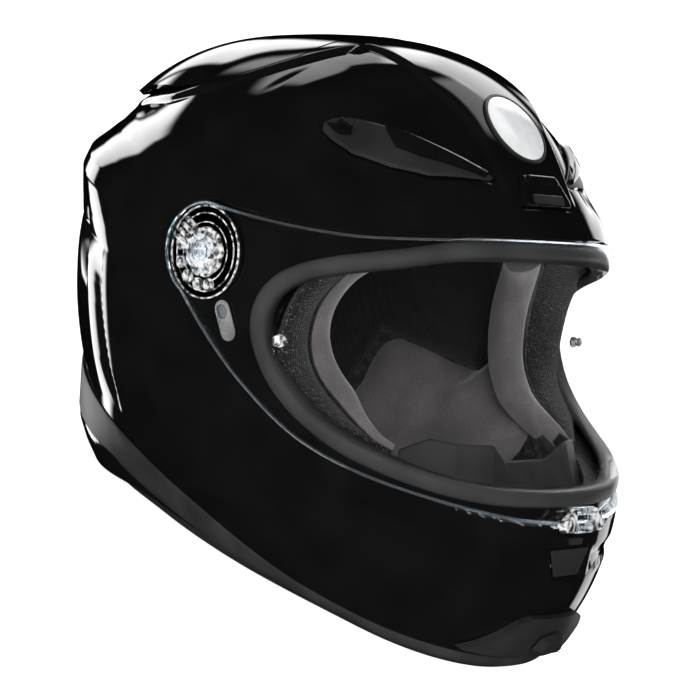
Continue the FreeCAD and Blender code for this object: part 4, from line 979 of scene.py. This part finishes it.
# ---------------------------------------------------------------- soft goods
def swell(obj, cap, pressure=4.0, voxel=0.005):
    """Inflate a closed soft piece as cloth, move no point further than cap, and keep the result."""
    view = bpy.context.view_layer
    view.objects.active = obj
    modify(obj, "REMESH", mode="VOXEL", voxel_size=voxel)
    view.update()
    solid = bpy.data.meshes.new_from_object(obj.evaluated_get(bpy.context.evaluated_depsgraph_get()))
    obj.modifiers.clear()
    obj.data = solid
    start = np.empty(len(solid.vertices) * 3)
    solid.vertices.foreach_get("co", start)
    cloth = modify(obj, "CLOTH")
    cloth.settings.quality = 6
    cloth.settings.use_pressure = True
    cloth.settings.uniform_pressure_force = pressure
    cloth.settings.effector_weights.gravity = 0.0
    cloth.settings.tension_stiffness = 25.0
    cloth.settings.compression_stiffness = 12.0
    for number in range(1, 21):
        scene.frame_set(number)
    settled = obj.evaluated_get(bpy.context.evaluated_depsgraph_get()).data
    end = np.empty_like(start)
    settled.vertices.foreach_get("co", end)
    obj.modifiers.clear()
    move = (end - start).reshape(-1, 3)
    size = np.linalg.norm(move, axis=1, keepdims=True)
    move *= np.minimum(1.0, cap / np.maximum(size, 1e-9))
    solid.vertices.foreach_set("co", (start.reshape(-1, 3) + move).ravel())
    solid.update()
    return obj

def smooth_again(obj):
    """One subdivision level and smooth shading after the cloth has settled."""
    modify(obj, "SUBSURF", levels=1, render_levels=1)
    obj.data.polygons.foreach_set("use_smooth", [True] * len(obj.data.polygons))
    return obj


def pillow(outline, centre, inner, outer, rings=12, count=110):
    """Crowned pad between two offsets of the form, drawn in towards its seam; right-hand side."""
    outline = soften(resample(np.array(outline, float), count), 3.0)
    share = np.sin(np.linspace(0.0, math.pi / 2, rings + 1))[1:]
    middle, half = (inner + outer) / 2.0, (outer - inner) / 2.0
    crown = np.sqrt(1.0 - share ** 4)
    rows, offsets = [], []
    for sense in (1.0, -1.0):
        for r, c in list(zip(share, crown))[::int(sense)]:
            rows.append(centre + r * (outline - centre))
            offsets.append(np.full(count, middle + sense * half * c))
    side, offset = np.concatenate(rows), np.concatenate(offsets)
    points = np.stack([-half_breadth(side[:, 0], side[:, 1], offset), side[:, 0], side[:, 1]], 1)
    faces = list(grid_faces(2 * rings, count, wrap_columns=True))
    faces += [list(range(count)), list(range((2 * rings - 1) * count, 2 * rings * count))]
    return points, faces


MIRROR = np.array([-1.0, 1.0, 1.0])
PAD_OUTLINE = ((-47, -128), (-44, -54), (0, -46), (28, -44), (35, -24), (41, -6), (46, -5), (49, -20), (55, -33),
               (66, -44), (80, -52), (88, -60), (88, -92), (78, -112), (64, -127))
BORDER_PATH = smooth_line(((60, 27), (52, 12), (47, -6), (48.5, -24), (54, -37), (64, -46), (78, -52.5), (95, -58), (104, -60)), 8)
BEAD = [(0.9 * math.cos(t), 0.9 * math.sin(t)) for t in np.linspace(0, 2 * math.pi, 8, endpoint=False)]
MESH_SECTION = ((0.0, 17.0), (-2.5, 12.0), (-3.5, 4.0), (-2.5, -4.0), (0.5, -9.5), (4.0, -11.0), (8.0, -11.0), (9.0, 2.0),
                (5.0, 14.0), (2.5, 17.0))
SUEDE_SECTION = ((1.0, -9.0), (-3.0, -12.0), (-4.5, -17.0), (-5.0, -23.0), (-3.0, -27.5), (3.0, -29.5), (8.0, -28.5),
                 (11.0, -24.0), (10.0, -17.0), (8.0, -12.0), (5.0, -9.5))
BORDER_OFFSET = -24.0


def border_path(side):
    """Path of the pad's front border, just inside the eye opening."""
    line = resample(BORDER_PATH, 90, closed=False)
    path = np.stack([side * half_breadth(line[:, 0], line[:, 1], BORDER_OFFSET), line[:, 0], line[:, 1]], 1)
    across, out = surface_frame(path, closed=False)
    middle = np.array([0.0, 110.0, -8.0])
    across *= np.sign((across * (path - middle)).sum(1).mean())
    slim = 1.0 - 0.8 * smoothstep(np.linspace(0.0, 1.0, 90), 0.7, 1.0)
    return path, across, out * slim[:, None]


def capped(faces, rings, size):
    """Faces of an open sweep with both ends closed."""
    return [*faces, list(range(size)), list(range((rings - 1) * size, rings * size))]


def soft_section(section, count=28):
    return soften(resample(np.array(section, float), count), 1.2)


def two_fabrics(obj, inner_slot, outer_slot, offset):
    """Give the faces outside an offset of the form the outer fabric."""
    count = len(obj.data.polygons)
    centres = np.zeros(count * 3)
    obj.data.polygons.foreach_get("center", centres)
    local = from_row(centres.reshape(-1, 3))
    outside = np.abs(local[:, 0]) > half_breadth(local[:, 1], local[:, 2], offset)
    obj.data.polygons.foreach_set("material_index", np.where(outside, outer_slot, inner_slot).astype(int))


for side, hand in ((-1, "right"), (1, "left")):
    points, faces = pillow(PAD_OUTLINE, np.array([14.0, -88.0]), -40.0, -19.0)
    pad = add_mesh("cheek_pad_body_" + hand, points * (1.0 if side < 0 else MIRROR), faces, [SUEDE, MESH], sharp=80.0,
                   body="helmet", replaces=["cheek_pad_" + hand], slot="pad_fabric")
    smooth_again(swell(pad, 0.0045))
    two_fabrics(pad, 0, 1, -25.0)
    path, across, out = border_path(side)
    points, faces = sweep(path, across, out, soft_section(MESH_SECTION), closed=False)
    add_mesh("mesh_border_" + hand, points, capped(faces, 90, 28), [MESH], sharp=80.0, body="helmet", slot="pad_fabric")
    points, faces = sweep(path, across, out, soft_section(SUEDE_SECTION), closed=False)
    add_mesh("suede_border_" + hand, points, capped(faces, 90, 28), [SUEDE], sharp=80.0, body="helmet", slot="pad_fabric")
    seam = path + across * -0.9 + out * -9.6
    points, faces = sweep(seam, across, out, BEAD, closed=False)
    add_mesh("border_seam_" + hand, points, capped(faces, 90, 8), [LINING], sharp=80.0, body="helmet", slot="pad_fabric")

# ---------------------------------------------------------------- crown lining
CROWN_OUTLINE = np.array([(-200, 200), (-200, -112), (-60, -108), (-44, -98), (-40, -56), (30, -52), (36, -25), (40, 2), (48, 22), (62, 38),
                          (200, 110), (200, 200)], float)
LINING_FACE = -35.0
LINING_DEPTH = 7.5


def quilting(p):
    """Depth of the sewn channels of the crown lining."""
    across = np.abs(p[:, 0])
    bearing = np.degrees(np.arctan2(p[:, 2], p[:, 1]))
    channels = [np.abs(across - 26.0), np.abs(across - 62.0)]
    channels += [np.abs(bearing - b) * 1.9 + np.where(across < 26.0, 0.0, 40.0) for b in (52, 78, 104, 130, 156)]
    return 3.2 * np.exp(-(np.min(channels, axis=0) / 3.0) ** 2)


crown_base = spread(directions, LINING_FACE)
crown_gap = inside(crown_base[:, 1:], CROWN_OUTLINE)
rim_roll = LINING_DEPTH * (1.0 - np.sqrt(np.clip(1.0 - (1.0 - np.clip(crown_gap / 7.0, 0, 1)) ** 2, 0, 1)))
crown_depth = LINING_DEPTH - rim_roll - quilting(crown_base) * smoothstep(crown_gap, 0.0, 8.0)
crown_face = crown_base - form_normal(crown_base) * np.maximum(crown_depth, 0.3)[:, None]
both, faces = clip(np.concatenate([crown_face, crown_base], 1), triangles(quads), crown_gap)
sheet, sheet_faces = thicken(both[:, :3], faces, both[:, 3:])
add_mesh("crown_lining_pads", sheet, sheet_faces, [LINING], sharp=80.0, body="helmet", replaces=["crown_lining"],
         slot="lining_fabric")

# ---------------------------------------------------------------- neck roll and chin curtain
turn = np.radians(np.linspace(113, 247, 120))
roll_path = level_place(turn, lambda f: np.full_like(f, -125.0), -23.0, 0.0)
across, out = surface_frame(roll_path, closed=False)
pleats = 1.0 + 0.05 * np.sin(np.linspace(0, 34 * math.pi, 120))
round_section = [(7.2 * math.cos(t), 9.6 * math.sin(t)) for t in np.linspace(0, 2 * math.pi, 24, endpoint=False)]
ends = np.sqrt(np.clip(1 - np.abs(np.linspace(-1, 1, 120)) ** 8, 0.02, 1))
points, faces = sweep(roll_path, across * (pleats * ends)[:, None], out * (pleats * ends)[:, None], round_section, closed=False)
roll = add_mesh("neck_roll_pad", points, capped(faces, 120, 24), [LINING], sharp=80.0, body="helmet",
                replaces=["neck_roll"], slot="lining_fabric")
smooth_again(swell(roll, 0.002, voxel=0.004))

CURTAIN_LEVEL = -141.5
sweep_turn = np.radians(np.linspace(-52, 52, 140))
outer_edge = level_place(sweep_turn, lambda f: np.full_like(f, CURTAIN_LEVEL), -10.0, 0.0)
throat = 96.0
radius = np.hypot(outer_edge[:, 0], outer_edge[:, 1])
rows = []
for share in np.linspace(0.0, 1.0, 16):
    r = radius + (throat - radius) * share
    fold = 0.5 * np.sin(sweep_turn * 36.0 + share * 2.0) * math.sin(math.pi * share)
    hem = 0.5 * smoothstep(share, 0.86, 0.94)
    for lift in (0.45 + hem,):
        rows.append(np.stack([r * np.sin(sweep_turn), r * np.cos(sweep_turn), CURTAIN_LEVEL + fold + lift], 1))
top_rows = np.stack(rows)
flat_faces = grid_faces(16, 140)
sheet, sheet_faces = thicken(top_rows.reshape(-1, 3), flat_faces, top_rows.reshape(-1, 3) - [0, 0, 1.3])
add_mesh("chin_curtain_cloth", sheet, sheet_faces, [LINING], sharp=60.0, body="helmet", replaces=["chin_curtain"],
         slot="lining_fabric")

# ---------------------------------------------------------------- breath deflector
DEFLECTOR_ROWS = ((-98.0, -23.8), (-84.0, -24.6), (-69.0, -27.5), (-59.0, -33.0), (-51.0, -37.0))
FACET_TURNS = (-38, -31, -25, -15, -9, 9, 15, 25, 31, 38)
FACET_RISE = (-8.0, 1.0, 2.5, 5.0, -3.5, -3.5, 5.0, 2.5, 1.0, -8.0)
FACET_DEPTH = (0.0, 2.0, -2.5, -1.0, 3.0, 3.0, -1.0, -2.5, 2.0, 0.0)
facet_turn = np.radians(FACET_TURNS)
rows = []
for index, (level, offset) in enumerate(DEFLECTOR_ROWS):
    share = index / (len(DEFLECTOR_ROWS) - 1)
    row = level_place(facet_turn, lambda f: np.full_like(f, level), offset - np.array(FACET_DEPTH) * share, 20.0)
    row[:, 2] += np.array(FACET_RISE) * share ** 2
    rows.append(row)
facets = np.stack(rows).reshape(-1, 3)
sheet, sheet_faces = thicken(facets, grid_faces(len(rows), len(FACET_TURNS)), facets - form_normal(facets) * -2.2)
deflector = add_mesh("deflector_panels", sheet, sheet_faces, [DEFLECTOR], sharp=12.0, body="helmet",
                     replaces=["breath_deflector"], slot="deflector_rubber")
modify(deflector, "BEVEL", width=0.0008, segments=2, limit_method="ANGLE", angle_limit=math.radians(12))

# ---------------------------------------------------------------- straps and rings
STRAP_MID, STRAP_END = -20.0, 14.0
STRAP_LEVEL = -140.0
WEB = (12.5, 1.0)
WEB_SECTION = ((-12.5, -0.6), (-12.0, -0.95), (12.0, -0.95), (12.5, -0.6), (12.5, 0.6), (12.0, 0.95), (-12.0, 0.95), (-12.5, 0.6))
drop = np.linspace(-62.0, -128.0, 30)
strap_path = np.stack([-half_breadth(np.full(30, STRAP_MID), drop, -16.0), np.full(30, STRAP_MID), drop], 1)
corner_x = strap_path[-1, 0]
bend = np.linspace(0.0, math.pi / 2, 10)[1:]
corner = np.stack([corner_x + 11.0 - 11.0 * np.cos(bend), np.full(9, STRAP_MID), -129.0 - 11.0 * np.sin(bend)], 1)
level_run = np.stack([np.linspace(corner[-1, 0], -STRAP_END, 26)[1:], np.full(25, STRAP_MID), np.full(25, STRAP_LEVEL)], 1)
strap_path = np.concatenate([strap_path, corner, level_run])
along = np.gradient(strap_path, axis=0)
along /= np.linalg.norm(along, axis=1, keepdims=True)
wide = np.broadcast_to([0.0, 1.0, 0.0], strap_path.shape)
for side, hand in ((-1, "right"), (1, "left")):
    flip = 1.0 if side < 0 else MIRROR
    points, faces = sweep(strap_path, wide, np.cross(along, wide), WEB_SECTION, closed=False)
    add_mesh("webbing_" + hand, points * flip, capped(faces, len(strap_path), len(WEB_SECTION)), [WEBBING], sharp=50.0,
             body="helmet", replaces=["chin_strap_" + hand], slot="webbing")
    sleeve_path = np.stack([np.linspace(-57.5, -24.5, 24), np.full(24, STRAP_MID), np.full(24, STRAP_LEVEL - 0.1)], 1)
    puff = 1.0 + 0.10 * np.sin(np.linspace(0, 3 * math.pi, 24)) ** 2
    body = np.abs(np.linspace(-1, 1, 24)) ** 10
    section = [(15.0 * math.copysign(abs(math.cos(t)) ** 0.5, math.cos(t)), 2.9 * math.copysign(abs(math.sin(t)) ** 0.5, math.sin(t)))
               for t in np.linspace(0, 2 * math.pi, 36, endpoint=False)]
    wide_sleeve = np.broadcast_to([0.0, 1.0, 0.0], (24, 3)) * (1 - 0.06 * body)[:, None]
    high_sleeve = np.broadcast_to([0.0, 0.0, 1.0], (24, 3)) * (puff * (1 - 0.3 * body))[:, None]
    points, faces = sweep(sleeve_path, wide_sleeve, high_sleeve, section, closed=False)
    add_mesh("sleeve_" + hand, points * flip, capped(faces, 24, 36), [LINING], sharp=60.0, body="helmet",
             replaces=["strap_sleeve_" + hand], slot="lining_fabric")

RING_HALF, RING_WIRE = 15.0, 2.0
WIRE_SECTION = [(RING_WIRE * math.cos(t), RING_WIRE * math.sin(t)) for t in np.linspace(0, 2 * math.pi, 14, endpoint=False)]
bow_turn = np.linspace(math.pi / 2, 3 * math.pi / 2, 60)
ring_loop = np.concatenate([np.stack([RING_HALF * np.cos(bow_turn), RING_HALF * np.sin(bow_turn)], 1),
                            np.stack([np.zeros(30), np.linspace(-RING_HALF, RING_HALF, 32)[1:-1]], 1)])
ring_loop = soften(resample(ring_loop, 120), 1.6)
for name, level in (("lower_ring", -144.2), ("upper_ring", -135.8)):
    path = np.stack([STRAP_END + ring_loop[:, 0], STRAP_MID + ring_loop[:, 1], np.full(120, level)], 1)
    ahead = np.roll(path, -1, axis=0) - np.roll(path, 1, axis=0)
    ahead /= np.linalg.norm(ahead, axis=1, keepdims=True)
    up_axis = np.broadcast_to([0.0, 0.0, 1.0], path.shape)
    points, faces = sweep(path, np.cross(ahead, up_axis), up_axis, WIRE_SECTION)
    add_mesh(name + "_wire", points, faces, [STEEL], sharp=60.0, body=name, replaces=["d_" + name.replace("lower_ring", "ring_lower").replace("upper_ring", "ring_upper")],
             slot="steel")
    spin = np.linspace(0, 2 * math.pi, 40, endpoint=False)
    wrap = np.stack([STRAP_END + 3.2 * np.cos(spin), np.full(40, STRAP_MID), level + 3.2 * np.sin(spin)], 1)
    radial = np.stack([np.cos(spin), np.zeros(40), np.sin(spin)], 1)
    points, faces = sweep(wrap, np.broadcast_to([0.0, 0.9, 0.0], wrap.shape), radial, WEB_SECTION)
    add_mesh("webbing_loop_" + name, points, faces, [WEBBING], sharp=50.0, body="helmet", slot="webbing")

# ---------------------------------------------------------------- chin fittings
button_local = midplane_frame(-36.8, 4.9)
block("chin_button_face", button_local, ((-6, -9), (-3, -12), (4, -9), (6, 0), (4, 9), (-3, 12), (-6, 9)), 0.0, 3.9,
      [SATIN], 0.5, 3, 0.62, body="chin_button", replaces=["chin_vent_button"], slot="vent_satin")
chin_local = midplane_frame(CHIN_BEARING)
block("chin_panel", chin_local, ((-7.9, -9.8), (5.9, -15.8), (5.9, 15.8), (-7.9, 9.8)), -2.1, -0.9, [SATIN], 0.6, 2, 0.94,
      body="helmet", replaces=["chin_vent_grille"], slot="vent_satin")

# ---------------------------------------------------------------- hard parts shown as built
CARRIED = {"rear_exhaust_vent": SATIN, "lower_chin_cover": SATIN, "anti_fog_insert": INSERT,
           "visor_catch": SATIN, "chin_liner": FOAM, "cheek_core_left": FOAM,
           "cheek_core_right": FOAM, "strap_anchor_left": STEEL, "strap_anchor_right": STEEL,
           "anchor_rivets": STEEL, "cheek_pad_snaps": SNAP}
for node_name, node_material in CARRIED.items():
    carry(node_name, node_material)

# ---------------------------------------------------------------- floor, light and camera
CAMERA = to_row((-954.2, 753.4, 269.5))
TARGET = to_row((-7.3, 10.3, -46.0))
UPWARD = Vector((0.0, 0.391, 0.921))
LENS = 125.3


def aim(obj, place, target, upward=Vector((0, 0, 1))):
    """Place an object so that its -Z axis points at target."""
    back = (Vector(place) - Vector(target)).normalized()
    right = upward.cross(back).normalized()
    turn = Matrix((right, back.cross(right), back)).transposed().to_4x4()
    obj.matrix_world = Matrix.Translation(Vector(place)) @ turn


camera_data = bpy.data.cameras.new("camera")
camera_data.lens = LENS
camera_data.sensor_width = 36.0
camera_data.clip_start = 0.01
camera = bpy.data.objects.new("camera", camera_data)
scene.collection.objects.link(camera)
aim(camera, CAMERA, TARGET, UPWARD)
scene.camera = camera
scene.view_settings.view_transform = "Standard"

HEART = PIVOT + np.array([0.0, 0.0, -0.03])


def softbox(name, direction, distance, width, height, power, mirror=True, diffuse=True):
    """Soft rectangular light; mirror and diffuse say which reflections show it."""
    data = bpy.data.lights.new(name, "AREA")
    data.shape = "RECTANGLE"
    data.size, data.size_y = width, height
    data.energy = power
    obj = bpy.data.objects.new(name, data)
    scene.collection.objects.link(obj)
    toward = np.array(direction, float)
    aim(obj, HEART + toward / np.linalg.norm(toward) * distance, HEART)
    obj.visible_camera = False
    obj.visible_glossy = mirror
    obj.visible_diffuse = diffuse
    return obj


def studio_wall(name, azimuths, heights, brightness, distance=3.0):
    """Panel that fills a range of azimuths (from the front axis towards +X) and heights, in degrees."""
    azimuth, height = math.radians(sum(azimuths) / 2.0), math.radians(sum(heights) / 2.0)
    direction = (math.sin(azimuth) * math.cos(height), math.cos(azimuth) * math.cos(height), math.sin(height))
    width = 2.0 * distance * math.tan(math.radians(azimuths[1] - azimuths[0]) / 2.0) * math.cos(height)
    tall = 2.0 * distance * math.tan(math.radians(heights[1] - heights[0]) / 2.0)
    obj = softbox(name, direction, distance, width, tall, brightness * 4.0 * width * tall)
    obj.data.use_nodes = True
    tree = obj.data.node_tree
    source = tree.nodes["Emission"]
    place = tree.nodes.new("ShaderNodeNewGeometry")
    split = tree.nodes.new("ShaderNodeSeparateXYZ")
    tree.links.new(place.outputs["Parametric"], split.inputs[0])
    fade = []
    for axis in (0, 1):
        near = tree.nodes.new("ShaderNodeMath")
        near.operation = "PINGPONG"
        near.inputs[1].default_value = 0.5
        tree.links.new(split.outputs[axis], near.inputs[0])
        ramp = tree.nodes.new("ShaderNodeMapRange")
        ramp.interpolation_type = "SMOOTHSTEP"
        ramp.inputs["From Max"].default_value = 0.16
        tree.links.new(near.outputs[0], ramp.inputs[0])
        fade.append(ramp.outputs[0])
    both_ways = tree.nodes.new("ShaderNodeMath")
    both_ways.operation = "MULTIPLY"
    tree.links.new(fade[0], both_ways.inputs[0])
    tree.links.new(fade[1], both_ways.inputs[1])
    tree.links.new(both_ways.outputs[0], source.inputs["Strength"])
    return obj


studio_wall("wall_rear", (-5, 22), (-14, 16), 3.6)
studio_wall("wall_rear_low", (-3, 19), (-36, -17), 3.6)
studio_wall("wall_far", (21, 41), (5, 22), 2.4)
studio_wall("wall_over", (10, 56), (24, 43), 1.1)
studio_wall("wall_crown", (40, 80), (22, 46), 2.6)
studio_wall("wall_right", (62, 88), (-10, 20), 1.5)
studio_wall("wall_right_high", (60, 102), (42, 56), 1.1)
studio_wall("wall_right_low", (84, 106), (-26, -2), 1.5)
softbox("front_fill", (-0.55, -0.75, 0.45), 2.2, 1.6, 1.6, 45.0, mirror=False)
softbox("side_fill", (-0.9, 0.1, 0.2), 2.0, 1.2, 1.2, 18.0, mirror=False)

world = bpy.data.worlds.new("studio")
scene.world = world
world.use_nodes = True
tree = world.node_tree
tree.nodes.clear()
path = tree.nodes.new("ShaderNodeLightPath")
seen = tree.nodes.new("ShaderNodeBackground")
seen.inputs[0].default_value = (1.0, 1.0, 1.0, 1.0)
ambient = tree.nodes.new("ShaderNodeBackground")
ambient.inputs[0].default_value = (0.9, 0.95, 1.0, 1.0)
matte_only = tree.nodes.new("ShaderNodeMath")
matte_only.operation = "MULTIPLY"
matte_only.inputs[1].default_value = 0.35
tree.links.new(path.outputs["Is Diffuse Ray"], matte_only.inputs[0])
tree.links.new(matte_only.outputs[0], ambient.inputs[1])
blend = tree.nodes.new("ShaderNodeMixShader")
tree.links.new(path.outputs["Is Camera Ray"], blend.inputs[0])
tree.links.new(ambient.outputs[0], blend.inputs[1])
tree.links.new(seen.outputs[0], blend.inputs[2])
world_out = tree.nodes.new("ShaderNodeOutputWorld")
tree.links.new(blend.outputs[0], world_out.inputs[0])

floor_graph = Graph("floor_paper")
paper = floor_graph.add("BsdfDiffuse", {"Color": floor_graph.blend(
    floor_graph.noise(3.0), rgba(0.88), rgba(0.9)), "Roughness": 0.5})
glow = floor_graph.add("Emission", {"Color": rgba(1.0), "Strength": 0.75})
floor_material = floor_graph.close(floor_graph.add("AddShader", {0: paper, 1: glow}))
floor_mesh = bpy.data.meshes.new("floor")
work = bmesh.new()
bmesh.ops.create_grid(work, x_segments=8, y_segments=8, size=6.0)
work.to_mesh(floor_mesh)
work.free()
floor_mesh.materials.append(floor_material)
floor = bpy.data.objects.new("floor", floor_mesh)
scene.collection.objects.link(floor)
floor.location.z = -0.0005
floor.visible_glossy = False
